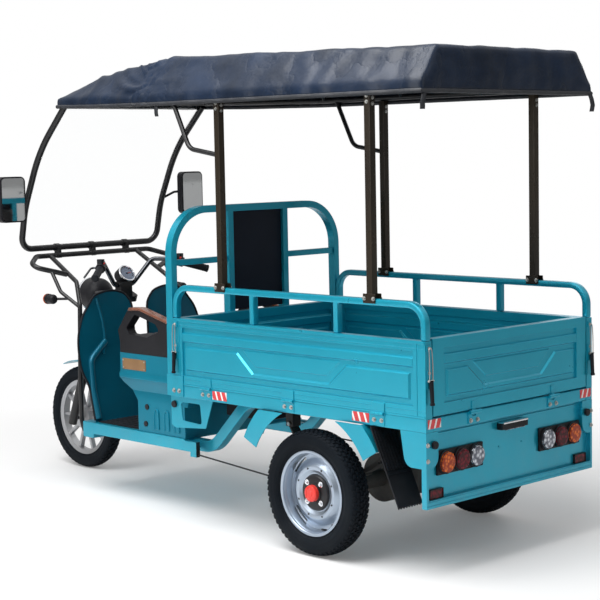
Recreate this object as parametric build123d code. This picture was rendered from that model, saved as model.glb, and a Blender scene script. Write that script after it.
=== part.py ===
from build123d import *

import math
import os

# Electric cargo tricycle, in millimetres: x forward from the bed's rear face, y to the left, z up from the ground.
# The finished nodes are moved back by MID_X, so that the origin lies on the ground under the middle of the whole.

# Fits and clearances
MOVING_CLEARANCE = 6.0
FIT_CLEARANCE = 0.3
CUT_OVER = 5.0

# Bed
BED_LENGTH = 1420.0
BED_WIDTH = 1024.0
BED_RAIL_TOP = 603.0
BED_RAIL_HEIGHT = 50.0
BED_RAIL_WIDTH = 40.0
BED_FLOOR_THICKNESS = 4.0
BOARD_HEIGHT = 285.0
BOARD_THICKNESS = 36.0
BOARD_RELIEF = 8.0
BOARD_END_BAND = 62.0
BOARD_TOP_BAND = 38.0
BOARD_LOW_BAND = 44.0
BOARD_RIB_TOP = 59.0
BOARD_RIB_HEIGHT = 42.0
PANEL_BOTTOM = 65.0
PANEL_TOP = 167.0
PANEL_DIP = 78.0
PANEL_DIP_RUN = 92.0
FIELD_GAP = 26.0
FIELD_RELIEF = 4.0
RELIEF_TAPER = 40
SIDE_DIP_HALF = 215.0
TAILGATE_DIP_HALF = 175.0
FRONT_DIP_HALF = 175.0

# Hinges of the boards, and the latches at the corners
HINGE_PIN_OUT = 10.0
HINGE_PIN_DROP = 3.0
HINGE_PIN_DIAMETER = 8.0
HINGE_KNUCKLE_DIAMETER = 16.0
HINGE_WIDTH = 64.0
HINGE_SPREAD_SHARE = 0.4766
HINGE_LEAF = 4.0
HINGE_LEAF_HEIGHT = 42.0
HINGE_FOOT_MARGIN = 4.0
SIDE_HINGE_SHARES = (0.1648, 0.5049, 0.8514)
LATCH_REACH = 22.0
LATCH_LIFT = 51.0
LATCH_HEIGHT = 220.0
LATCH_WIDTH = 26.0
LATCH_PLATE = 4.0
LATCH_PLATE_LIFT = 46.0
LATCH_HANDLE_WIDTH = 13.0
LATCH_SETBACK = 21.0
# columns: reach from the board, height above the latch's low end
LATCH_HANDLE = ((4.0, 106.0), (14.0, 91.0), (22.0, 6.0), (14.0, 0.0), (8.0, 46.0), (4.0, 66.0))

# Side rails, posts and the backrest hoop
RAIL_TOP = 1030.0
RAIL_WIDTH = 30.0
RAIL_DEPTH = 26.0
RAIL_BEND = 75.0
RAIL_UPRIGHT_SHARES = (0.3204, 0.6528)
POST_SHARES = (0.193, 0.7831)
POST_TOP = 1798.0
CLAMP_LENGTH = 62.0
CLAMP_PLATE = 4.0
CLAMP_HEIGHT = 36.0
HOOP_TOP = 1355.0
HOOP_WIDTH = 30.0
HOOP_DEPTH = 40.0
HOOP_BEND = 185.0
HOOP_LEAN = 6.0
HOOP_FOOT_GAP = 2.0
HOOP_BAR_LEVEL = 1118.0
HOOP_BAR_HEIGHT = 25.0
HOOP_PLATE = 4.0
HOOP_PLATE_HEIGHT = 90.0
HOOP_PLATE_SETBACK = 65.0
BACKREST_HALF = 150.0
BACKREST_BOTTOM = 892.0
BACKREST_TOP = 1325.0
BACKREST_PANEL = 12.0
BACKREST_PAD = 55.0
BACKREST_PAD_MARGIN = 10.0
BACKREST_PAD_CORNER = 40.0
BACKREST_FOOT = 720.0

# Canopy; the rows' stations are ahead of the bed's front face, apart from the first
CANOPY_TUBE = 25.0
CANOPY_BOW = 20.0
CANOPY_COVER = 4.0
CANOPY_VALANCE = 40.0
CANOPY_REAR = 4.0
CANOPY_OVERHANG = 3.0
CANOPY_NOSE_MARGIN = 24.0
CANOPY_NOSE_SETBACK = 25.0
CANOPY_NOSE_RISE = 14.0
CANOPY_SIDE_BEND = 300.0
CANOPY_BOW_BEND = 50.0
CANOPY_RIDGE_AHEAD = 80.0
CANOPY_SLOPE_AHEAD = 580.0
CANOPY_FRONT_AHEAD = 875.0
# columns: height of the low edge, how far the top is drawn in from it, height of the top
CANOPY_SECTIONS = ((1788.0, 95.0, 1957.0), (1790.0, 110.0, 1992.0), (1797.0, 75.0, 1936.0), (1805.0, 42.0, 1852.0))
CANOPY_BOW_SHARES = (0.0423, 0.3697, 0.7042, 1.0423)
BOW_CLEARANCE = 1.0
BRACE_DIAMETER = 20.0
BRACE_BOTTOM = 1570.0
BRACE_ELBOW_SETBACK = 120.0
BRACE_ELBOW_LEVEL = 1600.0
BRACE_TOP_SETBACK = 14.0
BRACE_BEND = 60.0

# Chassis; floor and sill distances are ahead of the bed's front face
BEAM_SIZE = 50.0
BEAM_LEVEL = 300.0
BEAM_RISE_SETBACKS = (235.0, 5.0)
BEAM_BEND = 130.0
BEAM_TO_SPRING = 55.0
BEAM_TO_SILL = 30.0
SPRING_REACH = 280.0
FRONT_BEARER_SETBACK = 290.0
FLOOR_WIDTH = 724.0
FLOOR_REAR_AHEAD = 121.0
FLOOR_FRONT_AHEAD = 780.0
FLOOR_SHEET = 7.0
SILL_WIDTH = 22.0
SILL_BOTTOM = 278.0
SILL_TAIL = 40.0
NOSE_LENGTH = 80.0
NOSE_BOTTOM = 258.0
DOWN_TUBE_DIAMETER = 60.0
CONTROLLER_HEIGHT = 125.0
CONTROLLER_TO_BEAM = 60.0
CONTROLLER_REAR = 240.0
CONTROLLER_FRONT = 20.0
BRACKET_SHEET = 4.0
BRACKET_INSET = 16.0
BRACKET_CORNER = 12.0
# columns: distance ahead of the bed's front face, drop below the rail's underside
BRACKET_OUTLINE = ((40.0, 0.0), (-231.0, 0.0), (-182.0, 124.0), (14.0, 140.0), (40.0, 128.0))
BRACKET_WINDOW = ((-24.0, 26.0), (-148.0, 24.0), (-157.0, 110.0), (-34.0, 104.0))
BRAKE_LEVER_LENGTH = 40.0
BRAKE_LEVER_BOTTOM = 258.0
BRAKE_ROD = 7.0
BRAKE_ROD_INSET = 10.0
BRAKE_ROD_LIFT = 12.0
BRAKE_ARM_REACH = 118.0
BRAKE_ARM_LENGTH = 45.0
BRAKE_ARM_HEIGHT = 20.0
BRAKE_ARM_DROP = 18.0

# Steering head, fork and front wheel; distances along x are ahead of the bed's front face
FRONT_AXLE_AHEAD = 1317.0
FRONT_TYRE_RADIUS = 258.0
FRONT_TYRE_WIDTH = 74.0
FRONT_RIM_RADIUS = 190.0
FRONT_RIM_DEPTH = 20.0
FRONT_HUB_RADIUS = 58.0
FRONT_HUB_HALF = 36.0
FRONT_HUB_EDGE = 30.0
FRONT_SPOKES = 10
FRONT_SPOKE_WIDTH = 15.0
FRONT_SPOKE_DEPTH = 22.0
SPOKE_SINK = 6.0
TYRE_BEAD_INSET = 12.0
TYRE_BEAD_STEP = 7.0
TYRE_SHOULDER_DROP = 13.0
TYRE_SHOULDER_INSET = 9.0
RAKE = 22.0
TRAIL = 70.0
HEAD_BOTTOM = 640.0
HEAD_TOP = 850.0
HEAD_DIAMETER = 62.0
STEM_DIAMETER = 36.0
FORK_HALF = 82.0
FORK_FOOT = 25.0
SLIDER_DIAMETER = 44.0
STANCHION_DIAMETER = 32.0
SLIDER_TOP = 500.0
CROWN_LEVEL = 606.0
CLAMP_LEVEL = 885.0
CROWN_THICKNESS = 30.0
CROWN_LENGTH = 92.0
CROWN_CORNER = 20.0
CROWN_MARGIN = 8.0
FRONT_AXLE_DIAMETER = 18.0
FRONT_AXLE_END = 20.0
MUDGUARD_GAP = 30.0
MUDGUARD_HALF = 50.0
MUDGUARD_SHEET = 3.0
MUDGUARD_SPAN = (66, 165)
MUDGUARD_LUG_SHARE = 0.36
MUDGUARD_LUG_LENGTH = 32.0
MUDGUARD_LUG_HEIGHT = 18.0
MUDGUARD_LUG_SINK = 12.0
MUDGUARD_LUG_OVERLAP = 4.0
BAR_DIAMETER = 22.0
BAR_BEND = 38.0
BAR_POINTS = ((982.0, 55.0, 945.0), (945.0, 150.0, 1066.0), (872.0, 206.0, 1064.0), (756.0, 340.0, 1014.0))
BAR_CLAMP_LENGTH = 48.0
BAR_CLAMP_HALF = 34.0
BAR_CLAMP_COVER = 6.0
GRIP_DIAMETER = 34.0
GRIP_LENGTH = 125.0
GRIP_END = 12.0
SWITCH_DIAMETER = 48.0
SWITCH_LENGTH = 46.0
LEVER_DIAMETER = 10.0
LEVER_REACH = 46.0
LEVER_LENGTH = 130.0
LEVER_SPLAY = 1.15
LEVER_BEND = 18.0
LEVER_SETBACK = 20.0
RESERVOIR_DIAMETER = 36.0
RESERVOIR_HEIGHT = 40.0
GAUGE_CENTRE = (982.0, -22.0, 1000.0)
GAUGE_DIAMETER = 92.0
GAUGE_DEPTH = 44.0
GAUGE_TILT = 35
GAUGE_FOOT_DIAMETER = 20.0
GAUGE_FOOT_LIFT = 10.0
HEADLAMP_DIAMETER = 160.0
HEADLAMP_LENGTH = 120.0
HEADLAMP_AHEAD = 1125.0
HEADLAMP_LEVEL = 890.0
HEADLAMP_ROUND = 64.0
HEADLAMP_ARM_HALF = 20.0
HEADLAMP_ARM_HEIGHT = 30.0
HEADLAMP_ARM_SINK = 40.0
HEADLAMP_RIM = 7.0
HEADLAMP_LENS = 14.0
HEADLAMP_LENS_ROUND = 12.0

# Rear axle, wheels and springs
REAR_AXLE_SHARE = 0.4155
REAR_TYRE_RADIUS = 250.0
REAR_TYRE_WIDTH = 95.0
REAR_RIM_RADIUS = 164.0
WHEEL_INSET = 24.5
RIM_SHEET = 6.0
RIM_BEAD_INSET = 14.0
RIM_FLANGE = 4.0
RIM_FLANGE_RISE = 6.0
RIM_DROP = 12.0
RIM_STEP = 9.0
RIM_DISC_OUT = 4.0
# columns: radius, how far the disc's outer face stands out from its middle
RIM_DISH = ((78.0, 0.0), (90.0, 9.0), (106.0, 9.0), (122.0, -3.0), (134.0, -12.0))
RIM_WINDOWS = 4
RIM_WINDOW_SPAN = 17
RIM_WINDOW_RADII = (137.0, 149.0)
RIM_NOTCHES = 8
RIM_NOTCH_RADIUS = 84.0
RIM_NOTCH_DIAMETER = 13.0
HUB_RADIUS = 73.0
HUB_CHAMFER = 6.0
HUB_HEIGHT = 14.0
HUB_CAP_RADIUS = 33.0
HUB_CAP_HEIGHT = 24.0
HUB_CAP_CHAMFER = 5.0
HUB_BOLTS = 4
HUB_BOLT_CIRCLE = 53.0
HUB_BOLT_TURN = 45.0
HUB_BOLT_DIAMETER = 15.0
HUB_BOLT_HEIGHT = 10.0
AXLE_DIAMETER = 70.0
AXLE_SHAFT_DIAMETER = 28.0
AXLE_SHAFT_LENGTH = 90.0
AXLE_BORE_DEPTH = 120.0
AXLE_TO_WHEEL = 82.5
DRUM_DIAMETER = 210.0
DRUM_THICKNESS = 18.0
DRUM_MARGIN = 10.0
MOTOR_DIAMETER = 200.0
MOTOR_LENGTH = 240.0
SPRING_TO_AXLE_END = 65.0
SPRING_WIDTH = 46.0
SPRING_EYE_LEVEL = 474.0
SPRING_EYE_DROP = 12.0
SPRING_LEAF = 9.0
SPRING_LEAF_SHARES = (1.0, 0.72, 0.46)
HANGER_WIDTH = 40.0
FENDER_RADIUS = 415.0
FENDER_SHEET = 4.0
FENDER_INNER_REACH = 62.5
FENDER_OUTER_REACH = 44.5
FENDER_FRONT_SPAN = (26, 64)
FENDER_REAR_SPAN = (116, 150)
FENDER_VALANCE = 80.0
FLAP_TOP_BEHIND = 322.0
FLAP_LEAN = 140.01
FLAP_BOTTOM = 252.0
FLAP_THICKNESS = 8.0
FLAP_WIDTH = 140.0
FLAP_MARGIN = 6.0

# Tail
TAIL_FACE = 20.0
TAIL_SHEET = 4.0
TAIL_BOTTOM = 270.0
TAIL_FLANGE = 12.0
TAIL_LIP = 30.0
CORNER_PLATE_WIDTH = 67.0
CORNER_PLATE_HEIGHT = 135.0
CORNER_PLATE_LENGTH = 126.0
CORNER_PLATE_TAPER = 22.0
CORNER_PLATE_ROUND = 42.0
CORNER_PLATE_SHEET = 6.0
LAMP_RADIUS = 40.0
LAMP_PITCH = 86.0
LAMP_INSET = 119.0
LAMP_LEVEL = 430.0
LAMP_PLATE = 10.0
LAMP_PLATE_MARGIN = 6.0
LAMP_HEIGHT = 18.0
BUFFER_DIAMETER = 30.0
BUFFER_REACH = 13.0
BUFFER_INSET = 42.0
BUFFER_LEVEL = 505.0
REFLECTOR_INSET = 67.0
REFLECTOR_LEVEL = 302.0
REFLECTOR_SIZE = (70.0, 32.0, 8.0)
PLATE_LAMP_HALF = 80.0
PLATE_LAMP_LEVEL = 518.0
PLATE_LAMP_HEIGHT = 25.0
PLATE_LAMP_REACH = 8.0
PLATE_HOLE_SPACING = 140.0
PLATE_HOLE_RADIUS = 3.5
PLATE_HOLE_LEVEL = 440.0

# Driver's place; distances along x are ahead of the bed's front face
BATTERY_BOX_FRONT = 448.0
BATTERY_BOX_MARGIN = 7.0
BATTERY_BOX_TOP = 470.0
BATTERY_GAP = 12.0
BOX_WALL = 4.0
SEAT_OVERHANG = 18.0
SEAT_BOX_REAR = 100.0
SEAT_BOX_FRONT = 537.0
SEAT_BOX_CHIN = 552.0
SEAT_BOX_TOP = 687.0
# columns: how far the side lies out from the seat box's half width, height
SEAT_SIDE_STEPS = ((0.0, 606.0), (7.0, 592.0), (7.0, 574.0), (-8.0, 560.0), (-34.0, 514.0), (-25.0, 470.0))
SEAT_PAN_HEIGHT = 20.0
SEAT_SIDE_HEIGHT = 58.0
SEAT_CUSHION_HEIGHT = 58.0
SEAT_CUSHION_CORNER = 30.0
SEAT_FRONT = 534.0
SEAT_MARGIN = 6.0
SEAT_GAP = 2.0
ARMREST_WIDTH = 45.0
ARMREST_CORNER = 12.0
# columns: distance ahead of the bed's front face, height above the seat box
ARMREST_OUTLINE = ((180.0, 48.0), (534.0, 48.0), (547.0, 100.0), (478.0, 190.0), (396.0, 195.0), (195.0, 145.0))
ARMREST_WINDOW = ((465.0, 86.0), (486.0, 114.0), (424.0, 178.0), (280.0, 143.0), (250.0, 112.0), (340.0, 80.0))
ARMREST_PAD_TOP = ((195.0, 160.0), (396.0, 210.0), (470.0, 206.0))

# Leg shield, guard, windscreen and mirrors; distances along x are ahead of the bed's front face
SHIELD_SHEET = 4.0
SHIELD_PROFILE = ((784.0, 332.0), (820.0, 480.0), (855.0, 650.0), (872.0, 938.0))
# columns: half width, height, of one wing from its foot round to the notch
SHIELD_OUTLINE = ((345.0, 327.0), (345.0, 490.0), (378.0, 570.0), (378.0, 720.0), (345.0, 828.0), (268.0, 922.0),
                  (175.0, 938.0), (95.0, 922.0), (45.0, 866.0), (42.0, 690.0))
SHIELD_CORNER = 16.0
SHIELD_BEAD = 30.0
SHIELD_BEAD_BEND = 60.0
SHIELD_BEAD_POINTS = ((776.0, 330.0, 347.0), (812.0, 330.0, 480.0), (842.0, 318.0, 620.0), (852.0, 220.0, 700.0))
GUARD_DIAMETER = 22.0
GUARD_BEND = 45.0
GUARD_TOP_AHEAD = 1216.0
GUARD_TOP_LEVEL = 1096.0
GUARD_FOOT_HALF = 330.0
GUARD_FOOT_LEVEL = 276.0
GUARD_LEG = ((991.0, 276.0, 978.0), (902.0, 326.0, 880.0), (910.0, 330.0, 560.0), (912.0, 330.0, 322.0),
             (890.0, 330.0, 276.0))
GUARD_LEG_HALF = 265.0
GUARD_LEG_BENDS = (45.0, 45.0, 200.0, 100.0, 20.0)
GUARD_LOOP = ((1058.0, 282.0, 1012.0), (1128.0, 444.0, 1058.0))
GUARD_LOOP_HALF = 346.0
GUARD_LOOP_DIAMETER = 25.0
GUARD_LOOP_BEND = 40.0
GUARD_GUSSET = ((1088.0, 350.0, 1030.0), (1016.0, 352.0, 935.0), (906.0, 324.0, 866.0))
GUARD_GUSSET_DIAMETER = 18.0
SCREEN_TUBE = 30.0
SCREEN_HALF = 418.0
SCREEN_PROFILE = ((1236.0, 1134.0), (1192.0, 1330.0), (1060.0, 1600.0), (842.0, 1810.0))
SCREEN_BENDS = (500.0, 700.0)
SCREEN_CORNER = 62.0
SCREEN_SHEET = 4.0
SCREEN_CLIPS = (-210.0, 0.0, 210.0)
SCREEN_CLIP_WIDTH = 16.0
MIRROR_CENTRE = (1110.0, 551.0, 1380.0)
MIRROR_SIZE = (36.0, 140.0, 214.0)
MIRROR_GLASS = 3.0
MIRROR_RIM = 7.0
MIRROR_CORNER = 26.0
MIRROR_ARM = 12.0
MIRROR_ARM_BEND = 24.0
MIRROR_ARM_START = (1180.0, 1352.0)
MIRROR_ARM_ELBOW = (1152.0, 60.0, 1384.0)
MIRROR_ARM_END = (4.0, 10.0)
INDICATOR_CENTRE = (1030.0, 402.0, 904.0)
INDICATOR_SIZE = (70.0, 46.0)
INDICATOR_ROUND = 16.0
INDICATOR_STALK = 12.0
INDICATOR_STALK_END = (972.0, 345.0, 904.0)

# Places that follow from the sizes above
BOARD_TOP = BED_RAIL_TOP + BOARD_HEIGHT
BED_RAIL_BOTTOM = BED_RAIL_TOP - BED_RAIL_HEIGHT
BED_HALF = BED_WIDTH / 2
BED_INNER = BED_HALF - BOARD_THICKNESS
RAIL_Y = BED_HALF - BOARD_THICKNESS / 2
POST_SIZE = RAIL_WIDTH
REAR_AXLE_X = BED_LENGTH * REAR_AXLE_SHARE
REAR_WHEEL_Y = BED_HALF - WHEEL_INSET
AXLE_END = REAR_WHEEL_Y - AXLE_TO_WHEEL
SPRING_Y = AXLE_END - SPRING_TO_AXLE_END
BEAM_REAR_Y = SPRING_Y - BEAM_TO_SPRING
FENDER_INNER_Y = REAR_WHEEL_Y - FENDER_INNER_REACH
FENDER_OUTER_Y = REAR_WHEEL_Y + FENDER_OUTER_REACH
BEARERS = (REAR_AXLE_X - SPRING_REACH, REAR_AXLE_X, REAR_AXLE_X + SPRING_REACH, BED_LENGTH - FRONT_BEARER_SETBACK)
HINGE_PIN_X = -HINGE_PIN_OUT
HINGE_PIN_Z = BED_RAIL_TOP - HINGE_PIN_DROP
HINGE_SPREAD = BED_HALF * HINGE_SPREAD_SHARE
LATCH_BOTTOM = BED_RAIL_TOP + LATCH_LIFT
FLOOR_HALF = FLOOR_WIDTH / 2
BEAM_FRONT_Y = FLOOR_HALF - SILL_WIDTH - BEAM_TO_SILL - BEAM_SIZE / 2
CONTROLLER_HALF = min(BEAM_REAR_Y, BEAM_FRONT_Y) - BEAM_SIZE / 2 - CONTROLLER_TO_BEAM
FLOOR_TOP = BEAM_LEVEL + BEAM_SIZE / 2 + FLOOR_SHEET
BATTERY_BOX_HALF = FLOOR_HALF - BATTERY_BOX_MARGIN
SEAT_BOX_HALF = FLOOR_HALF + SEAT_OVERHANG
SEAT_PAN_TOP = SEAT_BOX_TOP + SEAT_PAN_HEIGHT
FRONT_AXLE_X = BED_LENGTH + FRONT_AXLE_AHEAD
RAKE_SLOPE = math.tan(math.radians(RAKE))
AXIS_GROUND_X = FRONT_AXLE_X + TRAIL
STEER_UP = Vector(-math.sin(math.radians(RAKE)), 0, math.cos(math.radians(RAKE)))
MID_X = (FRONT_AXLE_X + FRONT_TYRE_RADIUS - LATCH_REACH) / 2


def ahead(distance):
    """Place that lies this far ahead of the bed's front face."""
    return BED_LENGTH + distance


def ahead_points(points):
    """Points whose first number is a distance ahead of the bed's front face, in the whole's own frame."""
    return [(ahead(point[0]), *point[1:]) for point in points]


def block(x0, x1, y0, y1, z0, z1):
    """Box given by its limits."""
    return Pos((x0 + x1) / 2, (y0 + y1) / 2, (z0 + z1) / 2) * Box(x1 - x0, y1 - y0, z1 - z0)


def outline(points, radius=0.0):
    """Flat face inside a closed outline, with its corners rounded by one radius."""
    if radius:
        return Face(Wire(FilletPolyline(*points, radius=radius, close=True).edges()))
    return Face(Wire.make_polygon(points, close=True))


def side_plate(points, y0, y1, radius=0.0):
    """Outline of (x, z) points carried from y0 to y1."""
    return Solid.extrude(outline([(x, y0, z) for x, z in points], radius), Vector(0, y1 - y0, 0))


def cross_plate(points, x0, x1, radius=0.0):
    """Outline of (y, z) points carried from x0 to x1."""
    return Solid.extrude(outline([(x0, y, z) for y, z in points], radius), Vector(x1 - x0, 0, 0))


def tube(points, diameter, bend):
    """Round bar along a route of straight runs and tangent arcs."""
    path = FilletPolyline(*points, radius=bend) if len(points) > 2 else Line(*points)
    return sweep(Plane(origin=path @ 0, z_dir=path % 0) * Circle(diameter / 2), path=path)


def square_tube(points, wide, tall, across, bend):
    """Rectangular bar along a flat route, its width lying along the direction across."""
    path = FilletPolyline(*points, radius=bend)
    section = Plane(origin=path @ 0, x_dir=across, z_dir=path % 0) * Rectangle(wide, tall)
    return sweep(section, path=path)


def rod(start, end, diameter):
    """Straight round bar between two points."""
    run = Vector(*end) - Vector(*start)
    return extrude(Plane(origin=start, z_dir=run) * Circle(diameter / 2), amount=run.length)


def cross_rod(x, z, y0, y1, diameter):
    """Round bar across the vehicle."""
    return rod((x, y0, z), (x, y1, z), diameter)


def turned(points, place):
    """Solid of revolution about a wheel's axle, from (radius, y) points."""
    face = outline([(radius, y, 0) for radius, y in points])
    return Pos(*place) * Solid.revolve(face, 360, Axis.Y)


def tyre_ring(bead, radius, width, bead_inset, place):
    """Tyre with round side walls and a crowned tread."""
    half = width / 2
    lip = half - bead_inset
    wall = bead + TYRE_BEAD_STEP
    shoulder = (radius - TYRE_SHOULDER_DROP, half - TYRE_SHOULDER_INSET)
    widest = (wall + shoulder[0]) / 2
    edges = [
        Line((bead, -lip, 0), (bead, lip, 0)),
        Line((bead, lip, 0), (wall, lip, 0)),
        ThreePointArc((wall, lip, 0), (widest, half, 0), (*shoulder, 0)),
        ThreePointArc((*shoulder, 0), (radius, 0, 0), (shoulder[0], -shoulder[1], 0)),
        ThreePointArc((shoulder[0], -shoulder[1], 0), (widest, -half, 0), (wall, -lip, 0)),
        Line((wall, -lip, 0), (bead, -lip, 0)),
    ]
    face = Face(Wire([edge.edge() for edge in edges]))
    return Pos(*place) * Solid.revolve(face, 360, Axis.Y)


def arc_band(inner, outer, start, stop, y0, y1, centre_x, centre_z):
    """Band of a ring about a wheel's axle, between two angles in degrees from straight ahead."""

    def at(radius, angle):
        turn = math.radians(angle)
        return (centre_x + radius * math.cos(turn), y0, centre_z + radius * math.sin(turn))

    middle = (start + stop) / 2
    edges = [
        ThreePointArc(at(outer, start), at(outer, middle), at(outer, stop)),
        Line(at(outer, stop), at(inner, stop)),
        ThreePointArc(at(inner, stop), at(inner, middle), at(inner, start)),
        Line(at(inner, start), at(outer, start)),
    ]
    return Solid.extrude(Face(Wire([edge.edge() for edge in edges])), Vector(0, y1 - y0, 0))


def round_places(count, radius, place, first=0.0):
    """Places evenly spaced round a wheel's axle, as (x, z)."""
    turns = [math.radians(first + 360 * index / count) for index in range(count)]
    return [(place[0] + radius * math.cos(turn), place[2] + radius * math.sin(turn)) for turn in turns]


def other_side(shape):
    """Mirror image on the right-hand side."""
    return mirror(shape, about=Plane.XZ)


def both(shape):
    """The shape and its mirror image."""
    return [shape, other_side(shape)]


def flip(points):
    """Points of a route mirrored to the right-hand side."""
    return [(x, -y, z) for x, y, z in points]


def largest(shape):
    """The largest solid of a shape."""
    return max(shape.solids(), key=lambda piece: piece.volume)


def steer_x(z):
    """Place of the steering axis at a height."""
    return AXIS_GROUND_X - RAKE_SLOPE * z


def leg_x(z):
    """Place of the fork legs' centre line at a height."""
    return FRONT_AXLE_X + RAKE_SLOPE * (FRONT_TYRE_RADIUS - z)


def raised_field(points, height):
    """Tapered plate that stands out of a board's recess on both of its sides, from (x, z) points."""
    face = outline([(x, -BOARD_RELIEF, z) for x, z in points])
    proud = extrude(face, amount=height, dir=(0, 1, 0), taper=RELIEF_TAPER)
    return [proud, Pos(0, -BOARD_THICKNESS, 0) * mirror(proud, about=Plane.XZ)]


def pressed_board(length, dip_half):
    """Pressed drop side lying along x from 0, outer face at y = 0 and the sheet behind it."""
    board = block(0, length, -BOARD_THICKNESS + BOARD_RELIEF, -BOARD_RELIEF, 0, BOARD_HEIGHT)
    low, high = BOARD_END_BAND, length - BOARD_END_BAND
    board += block(0, length, -BOARD_THICKNESS, 0, 0, BOARD_LOW_BAND)
    board += block(0, length, -BOARD_THICKNESS, 0, BOARD_HEIGHT - BOARD_TOP_BAND, BOARD_HEIGHT)
    board += block(0, low, -BOARD_THICKNESS, 0, 0, BOARD_HEIGHT)
    board += block(high, length, -BOARD_THICKNESS, 0, 0, BOARD_HEIGHT)
    middle = length / 2
    dip_top = dip_half + PANEL_DIP_RUN
    dip_z = PANEL_TOP - PANEL_DIP
    margin = 2 * BOARD_RELIEF
    rib_top = BOARD_HEIGHT - BOARD_RIB_TOP
    rib_bottom = rib_top - BOARD_RIB_HEIGHT
    rib = [(low - CUT_OVER, rib_bottom), (high + CUT_OVER, rib_bottom), (high + CUT_OVER, rib_top),
           (low - CUT_OVER, rib_top)]
    panel = [(low + margin, PANEL_BOTTOM), (high - margin, PANEL_BOTTOM), (high - margin, PANEL_TOP),
             (middle + dip_top, PANEL_TOP), (middle + dip_half, dip_z), (middle - dip_half, dip_z),
             (middle - dip_top, PANEL_TOP), (low + margin, PANEL_TOP)]
    field_top = rib_bottom - CUT_OVER
    field_run = PANEL_DIP_RUN * (field_top - dip_z - FIELD_GAP) / PANEL_DIP
    field_half = dip_half - FIELD_GAP / 2
    field = [(middle - field_half, dip_z + FIELD_GAP), (middle + field_half, dip_z + FIELD_GAP),
             (middle + field_half + field_run, field_top), (middle - field_half - field_run, field_top)]
    for points, height in ((rib, BOARD_RELIEF), (panel, BOARD_RELIEF), (field, FIELD_RELIEF)):
        for piece in raised_field(points, height):
            board += piece
    return board


def bed():
    """Frame, floor, boards and rails of the load bed."""
    nodes = {}
    leaf_half = HINGE_WIDTH / 2
    rail = block(0, BED_LENGTH, BED_HALF - BED_RAIL_WIDTH, BED_HALF, BED_RAIL_BOTTOM, BED_RAIL_TOP)
    left = Pos(0, BED_HALF, BED_RAIL_TOP) * pressed_board(BED_LENGTH, SIDE_DIP_HALF)
    for share in SIDE_HINGE_SHARES:
        x0, x1 = BED_LENGTH * share - leaf_half, BED_LENGTH * share + leaf_half
        left += block(x0, x1, BED_HALF, BED_HALF + HINGE_LEAF, BED_RAIL_TOP, BED_RAIL_TOP + HINGE_LEAF_HEIGHT)
        rail += block(x0, x1, BED_HALF, BED_HALF + HINGE_LEAF, BED_RAIL_BOTTOM + HINGE_FOOT_MARGIN, BED_RAIL_TOP)
    nodes["bed_side_rails"] = both(rail)
    nodes["side_boards"] = both(left)
    inner = BED_HALF - BED_RAIL_WIDTH
    half = BED_RAIL_WIDTH / 2
    stations = (half, *BEARERS, BED_LENGTH - half)
    nodes["bed_cross_rails"] = [block(x - half, x + half, -inner, inner, BED_RAIL_BOTTOM, BED_RAIL_TOP)
                                for x in stations]
    floor_rear, floor_front = BOARD_THICKNESS + MOVING_CLEARANCE, BED_LENGTH - BOARD_THICKNESS
    nodes["bed_floor"] = [block(floor_rear, floor_front, -BED_INNER, BED_INNER, BED_RAIL_TOP,
                                BED_RAIL_TOP + BED_FLOOR_THICKNESS)]
    front = pressed_board(2 * BED_INNER, FRONT_DIP_HALF)
    nodes["front_board"] = [Pos(BED_LENGTH, BED_INNER, BED_RAIL_TOP) * Rot(0, 0, -90) * front]
    rail_z = RAIL_TOP - RAIL_DEPTH / 2
    first, last = RAIL_DEPTH / 2, BED_LENGTH - RAIL_DEPTH / 2
    route = [(first, RAIL_Y, BOARD_TOP), (first, RAIL_Y, rail_z), (last, RAIL_Y, rail_z), (last, RAIL_Y, BOARD_TOP)]
    side_rail = square_tube(route, RAIL_WIDTH, RAIL_DEPTH, (0, 1, 0), RAIL_BEND)
    for share in RAIL_UPRIGHT_SHARES:
        x = BED_LENGTH * share
        side_rail += block(x - RAIL_DEPTH / 2, x + RAIL_DEPTH / 2, RAIL_Y - RAIL_WIDTH / 2, RAIL_Y + RAIL_WIDTH / 2,
                           BOARD_TOP, rail_z)
    nodes["side_rails"] = both(side_rail)
    nodes["latches"] = latches()
    return nodes


def latches():
    """Over-centre latches on the side boards' rear ends and front corners."""
    half, grip = LATCH_WIDTH / 2, LATCH_HANDLE_WIDTH / 2
    low, high = LATCH_BOTTOM + LATCH_PLATE_LIFT, LATCH_BOTTOM + LATCH_HEIGHT
    handle = [(reach, LATCH_BOTTOM + lift) for reach, lift in LATCH_HANDLE]
    rear = block(-LATCH_PLATE, 0, RAIL_Y - half, RAIL_Y + half, low, high)
    rear += side_plate([(-reach, z) for reach, z in handle], RAIL_Y - grip, RAIL_Y + grip)
    x = BED_LENGTH - LATCH_SETBACK
    front = block(x - half, x + half, BED_HALF, BED_HALF + LATCH_PLATE, low, high)
    front += cross_plate([(BED_HALF + reach, z) for reach, z in handle], x - grip, x + grip)
    return both(rear) + both(front)


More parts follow.
